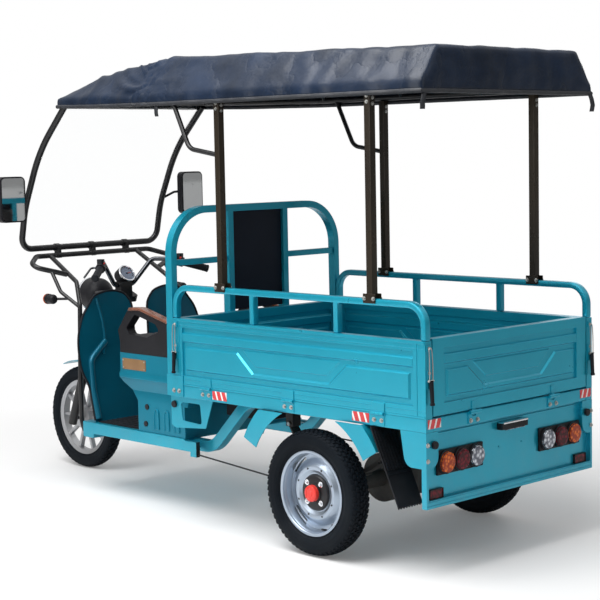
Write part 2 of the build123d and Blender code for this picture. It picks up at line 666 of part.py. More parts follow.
def tailgate():
    """Tailgate with its knuckles, and the hinge brackets with pins that carry it."""
    nodes = {}
    half = BED_INNER - MOVING_CLEARANCE
    gate = Pos(0, -half, BED_RAIL_TOP + MOVING_CLEARANCE) * Rot(0, 0, 90) * pressed_board(2 * half, TAILGATE_DIP_HALF)
    inner_half = HINGE_WIDTH / 6
    bracket_foot = BED_RAIL_BOTTOM + HINGE_FOOT_MARGIN
    brackets = []
    for y in (-HINGE_SPREAD, HINGE_SPREAD):
        low, high = y - inner_half + FIT_CLEARANCE, y + inner_half - FIT_CLEARANCE
        knuckle = cross_rod(HINGE_PIN_X, HINGE_PIN_Z, low, high, HINGE_KNUCKLE_DIAMETER)
        knuckle += block(HINGE_PIN_X, 0, low, high, HINGE_PIN_Z, HINGE_PIN_Z + HINGE_KNUCKLE_DIAMETER / 2)
        knuckle += block(-HINGE_LEAF, 0, low, high, HINGE_PIN_Z, HINGE_PIN_Z + HINGE_LEAF_HEIGHT)
        knuckle -= cross_rod(HINGE_PIN_X, HINGE_PIN_Z, low - CUT_OVER, high + CUT_OVER,
                             HINGE_PIN_DIAMETER + 2 * FIT_CLEARANCE)
        gate += knuckle
        low, high = y - HINGE_WIDTH / 2, y + HINGE_WIDTH / 2
        bracket = block(-HINGE_LEAF, 0, low, high, bracket_foot, HINGE_PIN_Z - HINGE_KNUCKLE_DIAMETER)
        for y0, y1 in ((low, y - inner_half), (y + inner_half, high)):
            bracket += cross_rod(HINGE_PIN_X, HINGE_PIN_Z, y0, y1, HINGE_KNUCKLE_DIAMETER)
            bracket += block(-HINGE_LEAF, 0, y0, y1, bracket_foot, HINGE_PIN_Z)
        bracket += cross_rod(HINGE_PIN_X, HINGE_PIN_Z, low, high, HINGE_PIN_DIAMETER)
        brackets.append(bracket)
    nodes["tailgate"] = [gate]
    nodes["tailgate_hinges"] = brackets
    return nodes


def corner_plate():
    """Plates round the tail's left corner, on its rear face and on its side."""
    back = TAIL_FACE + TAIL_SHEET
    low = BED_RAIL_BOTTOM - CORNER_PLATE_HEIGHT
    inner, outer = BED_HALF - CORNER_PLATE_WIDTH, BED_HALF - TAIL_FLANGE
    rear = block(0, back, inner, outer, low, BED_RAIL_BOTTOM)
    rear = fillet(rear.edges().filter_by(Axis.X).group_by(Axis.Y)[0].sort_by(Axis.Z)[0], CORNER_PLATE_ROUND)
    side = side_plate([(back, BED_RAIL_BOTTOM), (CORNER_PLATE_LENGTH, BED_RAIL_BOTTOM),
                       (CORNER_PLATE_LENGTH - CORNER_PLATE_TAPER, low), (back, low)],
                      BED_HALF - CORNER_PLATE_SHEET, BED_HALF)
    lowest = side.edges().filter_by(Axis.Y).group_by(Axis.Z)[0].sort_by(Axis.X)[-1]
    return rear, fillet(lowest, CORNER_PLATE_ROUND)


def tail():
    """Tail panel with its lamps, plates, buffers and reflectors."""
    nodes = {}
    face, back = TAIL_FACE, TAIL_FACE + TAIL_SHEET
    panel = block(face, back, -BED_HALF, BED_HALF, TAIL_BOTTOM, BED_RAIL_BOTTOM)
    flange = block(0, back, BED_HALF - TAIL_FLANGE, BED_HALF, TAIL_BOTTOM, BED_RAIL_BOTTOM)
    panel += block(0, back, -BED_HALF, BED_HALF, TAIL_BOTTOM, TAIL_BOTTOM + TAIL_LIP)
    for piece in (flange, *corner_plate()):
        panel += piece
        panel += other_side(piece)
    for y in (-PLATE_HOLE_SPACING / 2, PLATE_HOLE_SPACING / 2):
        panel -= rod((0, y, PLATE_HOLE_LEVEL), (2 * back, y, PLATE_HOLE_LEVEL), 2 * PLATE_HOLE_RADIUS)
    nodes["tail_panel"] = [panel]
    margin = LAMP_RADIUS + LAMP_PLATE_MARGIN
    lamp_ys = [BED_HALF - LAMP_INSET - index * LAMP_PITCH for index in range(3)]
    lens_face = face - LAMP_PLATE
    plate = block(lens_face, face, lamp_ys[2] - margin, lamp_ys[0] + margin, LAMP_LEVEL - margin, LAMP_LEVEL + margin)
    fittings = both(plate)
    for name, y in zip(("tail_lamps_amber", "tail_lamps_red", "tail_lamps_clear"), lamp_ys):
        lens = rod((lens_face, y, LAMP_LEVEL), (lens_face - LAMP_HEIGHT, y, LAMP_LEVEL), 2 * LAMP_RADIUS)
        lens = fillet(lens.edges().sort_by(Axis.X)[0], LAMP_HEIGHT / 2)
        nodes[name] = both(lens)
    buffer_y = BED_HALF - BUFFER_INSET
    buffer = rod((0, buffer_y, BUFFER_LEVEL), (-BUFFER_REACH, buffer_y, BUFFER_LEVEL), BUFFER_DIAMETER)
    fittings += both(buffer)
    wide, tall, thick = REFLECTOR_SIZE
    reflector_y = BED_HALF - REFLECTOR_INSET
    reflector = block(face - thick, face, reflector_y - wide / 2, reflector_y + wide / 2, REFLECTOR_LEVEL,
                      REFLECTOR_LEVEL + tall)
    nodes["tail_lamps_red"] += both(reflector)
    half = PLATE_LAMP_HEIGHT / 2
    fittings.append(block(-PLATE_LAMP_REACH, face, -PLATE_LAMP_HALF, PLATE_LAMP_HALF, PLATE_LAMP_LEVEL - half,
                          PLATE_LAMP_LEVEL + half))
    nodes["tail_fittings"] = fittings
    return nodes


def chassis():
    """Main beams, floor, head tube and what hangs under the bed."""
    nodes = {}
    floor_rear, floor_front = ahead(FLOOR_REAR_AHEAD), ahead(FLOOR_FRONT_AHEAD)
    nose_front = floor_front + NOSE_LENGTH
    high_z = BED_RAIL_BOTTOM - BEAM_SIZE / 2
    rise_top, rise_foot = (BED_LENGTH - setback for setback in BEAM_RISE_SETBACKS)
    route = [(floor_front, BEAM_FRONT_Y, BEAM_LEVEL), (rise_foot, BEAM_FRONT_Y, BEAM_LEVEL),
             (rise_top, BEAM_REAR_Y, high_z), (BED_RAIL_WIDTH, BEAM_REAR_Y, high_z)]
    nodes["main_beams"] = both(square_tube(route, BEAM_SIZE, BEAM_SIZE, (0, 1, 0), BEAM_BEND))
    floor_low = FLOOR_TOP - FLOOR_SHEET
    pan = block(floor_rear, floor_front, -FLOOR_HALF, FLOOR_HALF, floor_low, FLOOR_TOP)
    sill = block(floor_rear - SILL_TAIL, floor_front, FLOOR_HALF - SILL_WIDTH, FLOOR_HALF, SILL_BOTTOM, floor_low)
    nose = block(floor_front, nose_front, -FLOOR_HALF, FLOOR_HALF, NOSE_BOTTOM, FLOOR_TOP)
    nodes["floor_pan"] = [pan + sill + other_side(sill) + nose]
    head_low = (steer_x(HEAD_BOTTOM), 0, HEAD_BOTTOM)
    head_high = (steer_x(HEAD_TOP), 0, HEAD_TOP)
    over = STEER_UP * CUT_OVER
    bore = rod(tuple(Vector(*head_low) - over), tuple(Vector(*head_high) + over), STEM_DIAMETER + 2 * FIT_CLEARANCE)
    middle = (HEAD_BOTTOM + HEAD_TOP) / 2
    foot_x = nose_front - DOWN_TUBE_DIAMETER / 2
    column = rod(head_low, head_high, HEAD_DIAMETER)
    column += rod((foot_x, 0, FLOOR_TOP), (steer_x(middle), 0, middle), DOWN_TUBE_DIAMETER)
    column -= block(foot_x - DOWN_TUBE_DIAMETER, foot_x + DOWN_TUBE_DIAMETER, -DOWN_TUBE_DIAMETER, DOWN_TUBE_DIAMETER,
                    NOSE_BOTTOM, FLOOR_TOP)
    nodes["steering_head"] = [column - bore]
    nodes["controller_box"] = [block(BED_LENGTH - CONTROLLER_REAR, ahead(CONTROLLER_FRONT), -CONTROLLER_HALF,
                                     CONTROLLER_HALF, BED_RAIL_BOTTOM - CONTROLLER_HEIGHT, BED_RAIL_BOTTOM)]
    bracket_y = BED_HALF - BRACKET_INSET
    bracket = side_plate([(ahead(x), BED_RAIL_BOTTOM - drop) for x, drop in BRACKET_OUTLINE],
                         bracket_y - BRACKET_SHEET, bracket_y)
    bracket -= side_plate([(ahead(x), BED_RAIL_BOTTOM - drop) for x, drop in BRACKET_WINDOW],
                          bracket_y - BRACKET_SHEET - CUT_OVER, bracket_y + CUT_OVER, BRACKET_CORNER)
    nodes["bed_brackets"] = both(bracket)
    lever_front = floor_rear - SILL_TAIL
    lever_rear = lever_front - BRAKE_LEVER_LENGTH
    lever = block(lever_rear, lever_front, FLOOR_HALF - SILL_WIDTH, FLOOR_HALF, BRAKE_LEVER_BOTTOM, floor_low)
    pull_end = (REAR_AXLE_X + BRAKE_ARM_REACH + FIT_CLEARANCE, AXLE_END - DRUM_THICKNESS / 2,
                REAR_TYRE_RADIUS - BRAKE_ARM_DROP)
    pull = rod((lever_rear + BRAKE_ROD_INSET, FLOOR_HALF - SILL_WIDTH / 2, BRAKE_LEVER_BOTTOM + BRAKE_ROD_LIFT),
               pull_end, BRAKE_ROD)
    nodes["brake_linkage"] = both(lever + pull)
    return nodes


def rear_axle():
    """Axle beam with its motor and brake arms, springs, fenders and flaps."""
    nodes = {}
    x, z = REAR_AXLE_X, REAR_TYRE_RADIUS
    plate_y = AXLE_END - DRUM_THICKNESS
    beam = cross_rod(x, z, -AXLE_END, AXLE_END, AXLE_DIAMETER)
    beam += cross_rod(x, z, -MOTOR_LENGTH / 2, MOTOR_LENGTH / 2, MOTOR_DIAMETER)
    plate = cross_rod(x, z, plate_y, AXLE_END, DRUM_DIAMETER)
    arm_x, arm_z = x + BRAKE_ARM_REACH, z - BRAKE_ARM_DROP
    plate += block(arm_x - BRAKE_ARM_LENGTH, arm_x, plate_y, AXLE_END, arm_z - BRAKE_ARM_HEIGHT / 2,
                   arm_z + BRAKE_ARM_HEIGHT / 2)
    plate -= cross_rod(x, z, AXLE_END - AXLE_BORE_DEPTH, AXLE_END + CUT_OVER, AXLE_SHAFT_DIAMETER + 2 * FIT_CLEARANCE)
    bore = cross_rod(x, z, AXLE_END - AXLE_BORE_DEPTH, AXLE_END + CUT_OVER, AXLE_SHAFT_DIAMETER + 2 * FIT_CLEARANCE)
    beam = beam - bore - other_side(bore)
    nodes["rear_axle"] = [beam + plate + other_side(plate)]
    seat_z = z + AXLE_DIAMETER / 2
    y0, y1 = SPRING_Y - SPRING_WIDTH / 2, SPRING_Y + SPRING_WIDTH / 2
    stack = len(SPRING_LEAF_SHARES) * SPRING_LEAF
    rise = SPRING_EYE_LEVEL - seat_z - stack
    arc_radius = (SPRING_REACH * SPRING_REACH + rise * rise) / (2 * rise)
    spring = block(x - SPRING_REACH - HANGER_WIDTH / 2, x - SPRING_REACH + HANGER_WIDTH / 2, y0, y1,
                   SPRING_EYE_LEVEL - SPRING_EYE_DROP, BED_RAIL_BOTTOM)
    spring += block(x + SPRING_REACH - HANGER_WIDTH / 2, x + SPRING_REACH + HANGER_WIDTH / 2, y0, y1,
                    SPRING_EYE_LEVEL - SPRING_EYE_DROP, BED_RAIL_BOTTOM)
    for index, share in enumerate(SPRING_LEAF_SHARES):
        inner = arc_radius + index * SPRING_LEAF
        half_angle = math.degrees(math.asin(SPRING_REACH * share / arc_radius))
        spring += arc_band(inner, inner + SPRING_LEAF, 270 - half_angle, 270 + half_angle, y0, y1, x,
                           seat_z + stack + arc_radius)
    nodes["leaf_springs"] = both(spring)
    fenders = []
    for start, stop in (FENDER_FRONT_SPAN, FENDER_REAR_SPAN):
        fender = arc_band(FENDER_RADIUS - FENDER_SHEET, FENDER_RADIUS, start, stop, FENDER_INNER_Y,
                          FENDER_OUTER_Y, x, z)
        fender += arc_band(FENDER_RADIUS - FENDER_VALANCE, FENDER_RADIUS, start, stop,
                           FENDER_OUTER_Y - FENDER_SHEET, FENDER_OUTER_Y, x, z)
        fender -= block(0, BED_LENGTH, 0, BED_WIDTH, BED_RAIL_BOTTOM, BOARD_TOP)
        fenders += both(fender)
    nodes["rear_fenders"] = fenders
    top_x = x - FLAP_TOP_BEHIND
    foot_x = top_x - FLAP_LEAN
    flap = side_plate([(top_x, BED_RAIL_BOTTOM), (top_x - FLAP_THICKNESS, BED_RAIL_BOTTOM),
                       (foot_x - FLAP_THICKNESS, FLAP_BOTTOM), (foot_x, FLAP_BOTTOM)],
                      FENDER_OUTER_Y - FLAP_WIDTH, FENDER_OUTER_Y - FLAP_MARGIN)
    nodes["mud_flaps"] = both(flap)
    return nodes


def rear_rim(place):
    """Barrel, flange and dished disc of a rear rim in one turning, with its windows and notches."""
    bead = REAR_RIM_RADIUS
    lip = REAR_TYRE_WIDTH / 2 - RIM_BEAD_INSET
    seat, drop = bead - FIT_CLEARANCE, bead - RIM_DROP
    flange, flange_y = bead + RIM_FLANGE_RISE, lip + FIT_CLEARANCE
    face = [(HUB_CAP_RADIUS, RIM_DISC_OUT)] + [(radius, RIM_DISC_OUT + out) for radius, out in RIM_DISH]
    face.append((drop, face[-1][1]))
    barrel = [(drop, lip - 2 * RIM_STEP), (seat - RIM_STEP, lip - RIM_STEP), (seat - RIM_SHEET, flange_y + RIM_FLANGE),
              (flange, flange_y + RIM_FLANGE), (flange, flange_y), (seat, flange_y), (seat, -lip), (drop, -lip)]
    behind = [(radius, y - RIM_SHEET) for radius, y in reversed(face)]
    rim = turned(face + barrel + behind, place)
    y0, y1 = place[1] - lip, place[1] + lip
    low, high = RIM_WINDOW_RADII
    cuts = [cross_rod(x, z, y0, y1, RIM_NOTCH_DIAMETER).solid()
            for x, z in round_places(RIM_NOTCHES, RIM_NOTCH_RADIUS, place, HUB_BOLT_TURN / 2)]
    for index in range(RIM_WINDOWS):
        middle = 360 * (index + 0.5) / RIM_WINDOWS
        first, last = middle - RIM_WINDOW_SPAN, middle + RIM_WINDOW_SPAN
        cuts.append(arc_band(low, high, first, last, y0, y1, place[0], place[2]))
    return rim.cut(*cuts)


def rear_wheel(side):
    """Tyre, rim, hub and cap of one rear wheel; side is +1 on the left and -1 on the right."""
    place = (REAR_AXLE_X, REAR_WHEEL_Y, REAR_TYRE_RADIUS)
    tyre = tyre_ring(REAR_RIM_RADIUS, REAR_TYRE_RADIUS, REAR_TYRE_WIDTH, RIM_BEAD_INSET, place)
    rim = rear_rim(place)
    hub_y = RIM_DISC_OUT + HUB_HEIGHT
    cap_y = hub_y + HUB_CAP_HEIGHT
    hub = turned([(0, RIM_DISC_OUT), (HUB_RADIUS, RIM_DISC_OUT), (HUB_RADIUS - HUB_CHAMFER, hub_y),
                  (HUB_CAP_RADIUS, hub_y), (HUB_CAP_RADIUS, cap_y - HUB_CAP_CHAMFER),
                  (HUB_CAP_RADIUS - HUB_CAP_CHAMFER, cap_y), (0, cap_y)], place)
    for x, z in round_places(HUB_BOLTS, HUB_BOLT_CIRCLE, place, HUB_BOLT_TURN):
        hub += cross_rod(x, z, place[1] + hub_y, place[1] + hub_y + HUB_BOLT_HEIGHT, HUB_BOLT_DIAMETER)
    inner_y = RIM_DISC_OUT - RIM_SHEET
    drum_y = AXLE_END + MOVING_CLEARANCE - place[1]
    shaft_y = AXLE_END - AXLE_SHAFT_LENGTH - place[1]
    drum_radius, shaft_radius = DRUM_DIAMETER / 2 - DRUM_MARGIN, AXLE_SHAFT_DIAMETER / 2
    neck_y = inner_y - HUB_HEIGHT
    drum = turned([(0, shaft_y), (shaft_radius, shaft_y), (shaft_radius, drum_y), (drum_radius, drum_y),
                   (drum_radius, neck_y), (HUB_RADIUS, neck_y), (HUB_RADIUS, inner_y), (0, inner_y)], place)
    shapes = {"tyre": [tyre], "rim": [rim], "hub": [hub, drum]}
    name = "left" if side > 0 else "right"
    nodes = {}
    for key, pieces in shapes.items():
        nodes[f"rear_{key}_{name}"] = [piece if side > 0 else other_side(piece) for piece in pieces]
    return nodes


def front_wheel():
    """Front tyre and cast wheel."""
    bead = FRONT_RIM_RADIUS
    place = (FRONT_AXLE_X, 0, FRONT_TYRE_RADIUS)
    tyre = tyre_ring(bead, FRONT_TYRE_RADIUS, FRONT_TYRE_WIDTH, TYRE_BEAD_INSET, place)
    lip = FRONT_TYRE_WIDTH / 2 - TYRE_BEAD_INSET
    floor = bead - FRONT_RIM_DEPTH
    seat = bead - FIT_CLEARANCE
    rim = turned([(floor, -lip + SPOKE_SINK), (seat, -lip), (seat, lip), (floor, lip - SPOKE_SINK)], place)
    bore = FRONT_AXLE_DIAMETER / 2 + FIT_CLEARANCE
    rim += turned([(bore, -FRONT_HUB_HALF), (FRONT_HUB_RADIUS, -FRONT_HUB_EDGE), (FRONT_HUB_RADIUS, FRONT_HUB_EDGE),
                   (bore, FRONT_HUB_HALF)], place)
    for index in range(FRONT_SPOKES):
        spoke = block(FRONT_HUB_RADIUS - SPOKE_SINK, floor + SPOKE_SINK, -FRONT_SPOKE_DEPTH / 2, FRONT_SPOKE_DEPTH / 2,
                      -FRONT_SPOKE_WIDTH / 2, FRONT_SPOKE_WIDTH / 2)
        rim += Pos(*place) * Rot(0, 360 * index / FRONT_SPOKES, 0) * spoke
    return {"front_tyre": [tyre], "front_wheel": [rim]}


def fork_frame():
    """Fork legs, crowns, stem and axle."""
    foot_z = FRONT_TYRE_RADIUS - FORK_FOOT
    leg = rod((leg_x(foot_z), FORK_HALF, foot_z), (leg_x(SLIDER_TOP), FORK_HALF, SLIDER_TOP), SLIDER_DIAMETER)
    leg += rod((leg_x(SLIDER_TOP), FORK_HALF, SLIDER_TOP), (leg_x(CLAMP_LEVEL), FORK_HALF, CLAMP_LEVEL),
               STANCHION_DIAMETER)
    fork = leg + other_side(leg)
    fork += rod((steer_x(CROWN_LEVEL), 0, CROWN_LEVEL), (steer_x(CLAMP_LEVEL), 0, CLAMP_LEVEL), STEM_DIAMETER)
    crown_width = 2 * FORK_HALF + SLIDER_DIAMETER + CROWN_MARGIN
    for z in (CROWN_LEVEL, CLAMP_LEVEL):
        middle_x = (steer_x(z) + leg_x(z)) / 2
        plane = Plane(origin=(middle_x, 0, z), x_dir=(0, 1, 0), z_dir=tuple(STEER_UP))
        crown = plane * RectangleRounded(crown_width, CROWN_LENGTH, CROWN_CORNER)
        fork += extrude(crown, amount=CROWN_THICKNESS / 2, both=True)
    axle_half = FORK_HALF + FRONT_AXLE_END
    return fork + cross_rod(FRONT_AXLE_X, FRONT_TYRE_RADIUS, -axle_half, axle_half, FRONT_AXLE_DIAMETER)


def steering():
    """Fork, bars, gauge, headlamp and front mudguard."""
    nodes = {}
    bar_points = ahead_points(BAR_POINTS)
    start = bar_points[0]
    handlebar = tube(list(reversed(flip(bar_points))) + bar_points, BAR_DIAMETER, BAR_BEND)
    clamp_top = start[2] + BAR_DIAMETER / 2 + BAR_CLAMP_COVER
    clamp = block(start[0] - BAR_CLAMP_LENGTH / 2, start[0] + BAR_CLAMP_LENGTH / 2, -BAR_CLAMP_HALF, BAR_CLAMP_HALF,
                  CLAMP_LEVEL, clamp_top)
    fork = fork_frame() + clamp - handlebar
    nodes["fork"] = [fork]
    tip = Vector(*bar_points[-1])
    along = (tip - Vector(*bar_points[-2])).normalized()
    grip_start = tip - along * (GRIP_LENGTH - GRIP_END)
    switch_start = grip_start - along * SWITCH_LENGTH
    grip = rod(tuple(grip_start), tuple(tip + along * GRIP_END), GRIP_DIAMETER)
    grip += rod(tuple(switch_start), tuple(grip_start), SWITCH_DIAMETER)
    forward = Vector(along.Y, -along.X, 0).normalized() * LEVER_REACH
    perch = grip_start - along * LEVER_SETBACK
    lever = tube([tuple(perch), tuple(perch + forward), tuple(perch + forward * LEVER_SPLAY + along * LEVER_LENGTH)],
                 LEVER_DIAMETER, LEVER_BEND)
    bars = handlebar + lever + other_side(lever)
    reservoir = rod(tuple(perch), tuple(perch + Vector(0, 0, RESERVOIR_HEIGHT)), RESERVOIR_DIAMETER)
    nodes["grips"] = both(largest(grip - handlebar - lever - reservoir))
    nodes["handlebar"] = [bars + reservoir + other_side(reservoir)]
    tilt = math.radians(GAUGE_TILT)
    facing = Vector(-math.cos(tilt), 0, math.sin(tilt))
    centre = Vector(*ahead_points([GAUGE_CENTRE])[0])
    gauge = rod(tuple(centre - facing * GAUGE_DEPTH), tuple(centre), GAUGE_DIAMETER)
    gauge += rod(tuple(centre - facing * (GAUGE_DEPTH - CUT_OVER)),
                 (leg_x(CLAMP_LEVEL), GAUGE_CENTRE[1], CLAMP_LEVEL + GAUGE_FOOT_LIFT), GAUGE_FOOT_DIAMETER)
    nodes["gauge"] = [largest(gauge - fork - handlebar)]
    lamp_x = ahead(HEADLAMP_AHEAD)
    lamp_end = lamp_x + HEADLAMP_LENGTH
    lamp = rod((lamp_x, 0, HEADLAMP_LEVEL), (lamp_end, 0, HEADLAMP_LEVEL), HEADLAMP_DIAMETER)
    lamp = fillet(lamp.edges().sort_by(Axis.X)[0], HEADLAMP_ROUND)
    lamp += block(leg_x(CLAMP_LEVEL), lamp_x + HEADLAMP_ARM_SINK, -HEADLAMP_ARM_HALF, HEADLAMP_ARM_HALF,
                  HEADLAMP_LEVEL - HEADLAMP_ARM_HEIGHT / 2, HEADLAMP_LEVEL + HEADLAMP_ARM_HEIGHT / 2)
    nodes["headlamp"] = [lamp - fork]
    lens = rod((lamp_end, 0, HEADLAMP_LEVEL), (lamp_end + HEADLAMP_LENS, 0, HEADLAMP_LEVEL),
               HEADLAMP_DIAMETER - 2 * HEADLAMP_RIM)
    nodes["headlamp_lens"] = [fillet(lens.edges().sort_by(Axis.X)[-1], HEADLAMP_LENS_ROUND)]
    inner = FRONT_TYRE_RADIUS + MUDGUARD_GAP
    guard = arc_band(inner, inner + MUDGUARD_SHEET, *MUDGUARD_SPAN, -MUDGUARD_HALF, MUDGUARD_HALF, FRONT_AXLE_X,
                     FRONT_TYRE_RADIUS)
    lug_z = FRONT_TYRE_RADIUS + inner * math.sqrt(1 - MUDGUARD_LUG_SHARE ** 2) - MUDGUARD_LUG_SINK
    lug_x = leg_x(lug_z)
    lug = block(lug_x - MUDGUARD_LUG_LENGTH / 2, lug_x + MUDGUARD_LUG_LENGTH / 2, MUDGUARD_HALF - MUDGUARD_LUG_OVERLAP,
                FORK_HALF, lug_z, lug_z + MUDGUARD_LUG_HEIGHT) - fork
    nodes["front_mudguard"] = [guard + lug + other_side(lug)]
    return nodes


def box_shape(inset):
    """Upper seat box as one closed shape, drawn in by the inset on its sides and floor."""
    low = BATTERY_BOX_TOP + inset
    top = SEAT_BOX_TOP + (CUT_OVER if inset else 0.0)
    rear, front = ahead(SEAT_BOX_REAR) + inset, ahead(SEAT_BOX_FRONT) - inset
    profile = [(rear, low), (ahead(BATTERY_BOX_FRONT) - inset, low), (front, SEAT_BOX_CHIN + inset), (front, top),
               (rear, top)]
    steps = [(SEAT_BOX_HALF + out - inset, z) for out, z in SEAT_SIDE_STEPS]
    side = [(SEAT_BOX_HALF - inset, top), *steps]
    section = side + [(-y, z) for y, z in reversed(side)]
    return side_plate(profile, -BED_HALF, BED_HALF) & cross_plate(section, rear, front)


def driver_place():
    """Seat box, battery, seat and armrests."""
    nodes = {}
    rear, front = ahead(FLOOR_REAR_AHEAD), ahead(BATTERY_BOX_FRONT)
    half = BATTERY_BOX_HALF
    low_box = block(rear, front, -half, half, FLOOR_TOP, BATTERY_BOX_TOP)
    low_box -= block(rear + BOX_WALL, front - BOX_WALL, -half + BOX_WALL, half - BOX_WALL, FLOOR_TOP - CUT_OVER,
                     BATTERY_BOX_TOP + CUT_OVER)
    inset = BOX_WALL + BATTERY_GAP
    nodes["battery"] = [block(rear + inset, front - inset, -half + inset, half - inset, FLOOR_TOP,
                              BATTERY_BOX_TOP - BATTERY_GAP)]
    nodes["seat_box"] = [low_box + (box_shape(0.0) - box_shape(BOX_WALL))]
    seat_rear, seat_front = ahead(SEAT_BOX_REAR), ahead(SEAT_FRONT)
    arm_outer, arm_inner = SEAT_BOX_HALF, SEAT_BOX_HALF - ARMREST_WIDTH
    arm_points = [(ahead(x), SEAT_BOX_TOP + lift) for x, lift in ARMREST_OUTLINE]
    window_points = [(ahead(x), SEAT_BOX_TOP + lift) for x, lift in ARMREST_WINDOW]
    arm = side_plate(arm_points, arm_inner, arm_outer, ARMREST_CORNER)
    arm += block(seat_rear, seat_front, arm_inner, arm_outer, SEAT_BOX_TOP, SEAT_BOX_TOP + SEAT_SIDE_HEIGHT)
    arm -= side_plate(window_points, arm_inner - CUT_OVER, arm_outer + CUT_OVER, ARMREST_CORNER)
    pan = block(seat_rear, seat_front, -arm_inner, arm_inner, SEAT_BOX_TOP, SEAT_PAN_TOP)
    nodes["seat_base"] = [pan + arm + other_side(arm)]
    pad_points = [arm_points[5], arm_points[4], arm_points[3]]
    pad_points += [(ahead(x), SEAT_BOX_TOP + lift) for x, lift in reversed(ARMREST_PAD_TOP)]
    pad = side_plate(pad_points, arm_inner, arm_outer) - arm
    nodes["armrest_pads"] = both(largest(pad))
    cushion = block(seat_rear + SEAT_MARGIN, seat_front - SEAT_MARGIN, -arm_inner + SEAT_GAP, arm_inner - SEAT_GAP,
                    SEAT_PAN_TOP + FIT_CLEARANCE, SEAT_PAN_TOP + SEAT_CUSHION_HEIGHT)
    nodes["seat_cushion"] = [fillet(cushion.edges().filter_by(Axis.Z), SEAT_CUSHION_CORNER)]
    nodes.update(backrest())
    return nodes


def backrest():
    """Backrest hoop with its bars and corner plates, and the panel and pad that it carries."""
    nodes = {}
    hoop_x = ahead(HOOP_DEPTH / 2)
    foot_y = BED_HALF - HOOP_WIDTH / 2
    top_z = HOOP_TOP - HOOP_WIDTH / 2
    foot_z = BED_RAIL_BOTTOM + HOOP_FOOT_GAP
    route = [(hoop_x, foot_y, foot_z), (hoop_x, foot_y - HOOP_LEAN, top_z), (hoop_x, -foot_y + HOOP_LEAN, top_z),
             (hoop_x, -foot_y, foot_z)]
    hoop = square_tube(route, HOOP_DEPTH, HOOP_WIDTH, (1, 0, 0), HOOP_BEND)
    inner_y = BACKREST_HALF + HOOP_WIDTH / 2
    bar_half = HOOP_BAR_HEIGHT / 2
    upright = block(BED_LENGTH, ahead(HOOP_DEPTH), BACKREST_HALF, BACKREST_HALF + HOOP_WIDTH, BACKREST_FOOT, top_z)
    bar = block(hoop_x - bar_half, hoop_x + bar_half, inner_y, foot_y - HOOP_LEAN, HOOP_BAR_LEVEL - bar_half,
                HOOP_BAR_LEVEL + bar_half)
    plate = block(BED_LENGTH - HOOP_PLATE_SETBACK, ahead(HOOP_DEPTH), BED_HALF, BED_HALF + HOOP_PLATE, foot_z,
                  foot_z + HOOP_PLATE_HEIGHT)
    plate += block(BED_LENGTH, ahead(HOOP_DEPTH), foot_y, BED_HALF, foot_z, foot_z + HOOP_PLATE_HEIGHT)
    for piece in (upright, bar, plate):
        hoop += piece
        hoop += other_side(piece)
    nodes["backrest_hoop"] = [hoop]
    panel_x = hoop_x - BACKREST_PANEL / 2
    nodes["backrest_panel"] = [block(panel_x, panel_x + BACKREST_PANEL, -BACKREST_HALF, BACKREST_HALF, BACKREST_BOTTOM,
                                     BACKREST_TOP)]
    pad_x = panel_x + BACKREST_PANEL + FIT_CLEARANCE
    pad = block(pad_x, pad_x + BACKREST_PAD, -BACKREST_HALF + SEAT_GAP, BACKREST_HALF - SEAT_GAP, BACKREST_BOTTOM,
                BACKREST_TOP - BACKREST_PAD_MARGIN)
    nodes["backrest_pad"] = [fillet(pad.edges().filter_by(Axis.X), BACKREST_PAD_CORNER)]
    return nodes


def leg_shield():
    """Two-winged shield before the driver's legs, with the beads at its sides."""
    profile = ahead_points(SHIELD_PROFILE)
    behind = [(x - SHIELD_SHEET, z) for x, z in reversed(profile)]
    width = FLOOR_WIDTH
    shield = side_plate(profile + behind, -width, width)
    right = [(-y, z) for y, z in reversed(SHIELD_OUTLINE)]
    front_x = ahead(SHIELD_PROFILE[-1][0])
    shield = shield & cross_plate([*SHIELD_OUTLINE, *right], BED_LENGTH, front_x + CUT_OVER, SHIELD_CORNER)
    bead = tube(ahead_points(SHIELD_BEAD_POINTS), SHIELD_BEAD, SHIELD_BEAD_BEND)
    return shield + bead + other_side(bead)


def guard_tubes():
    """Guard of round tubes ahead of the leg shield."""
    top_x, nose_x = ahead(GUARD_TOP_AHEAD), ahead(FLOOR_FRONT_AHEAD + NOSE_LENGTH)
    leg = [(top_x, GUARD_LEG_HALF, GUARD_TOP_LEVEL), *ahead_points(GUARD_LEG),
           (nose_x, GUARD_FOOT_HALF, GUARD_FOOT_LEVEL)]
    half_loop = [*ahead_points(GUARD_LOOP), (top_x, GUARD_LOOP_HALF, GUARD_TOP_LEVEL)]
    loop = half_loop + list(reversed(flip(half_loop)))
    left = tube(leg, GUARD_DIAMETER, list(GUARD_LEG_BENDS))
    left += tube(ahead_points(GUARD_GUSSET), GUARD_GUSSET_DIAMETER, GUARD_BEND)
    return left + other_side(left) + tube(loop, GUARD_LOOP_DIAMETER, GUARD_LOOP_BEND)


def screen_route():
    """Route of the windscreen hoop, and the radii of its bends."""
    bottom, *rest = ahead_points(SCREEN_PROFILE)
    side = [(x, SCREEN_HALF, z) for x, z in rest]
    corner = [(bottom[0], SCREEN_HALF, bottom[1])]
    bends = list(reversed(SCREEN_BENDS)) + [SCREEN_CORNER, SCREEN_CORNER] + list(SCREEN_BENDS)
    return list(reversed(side)) + corner + flip(corner) + flip(side), bends


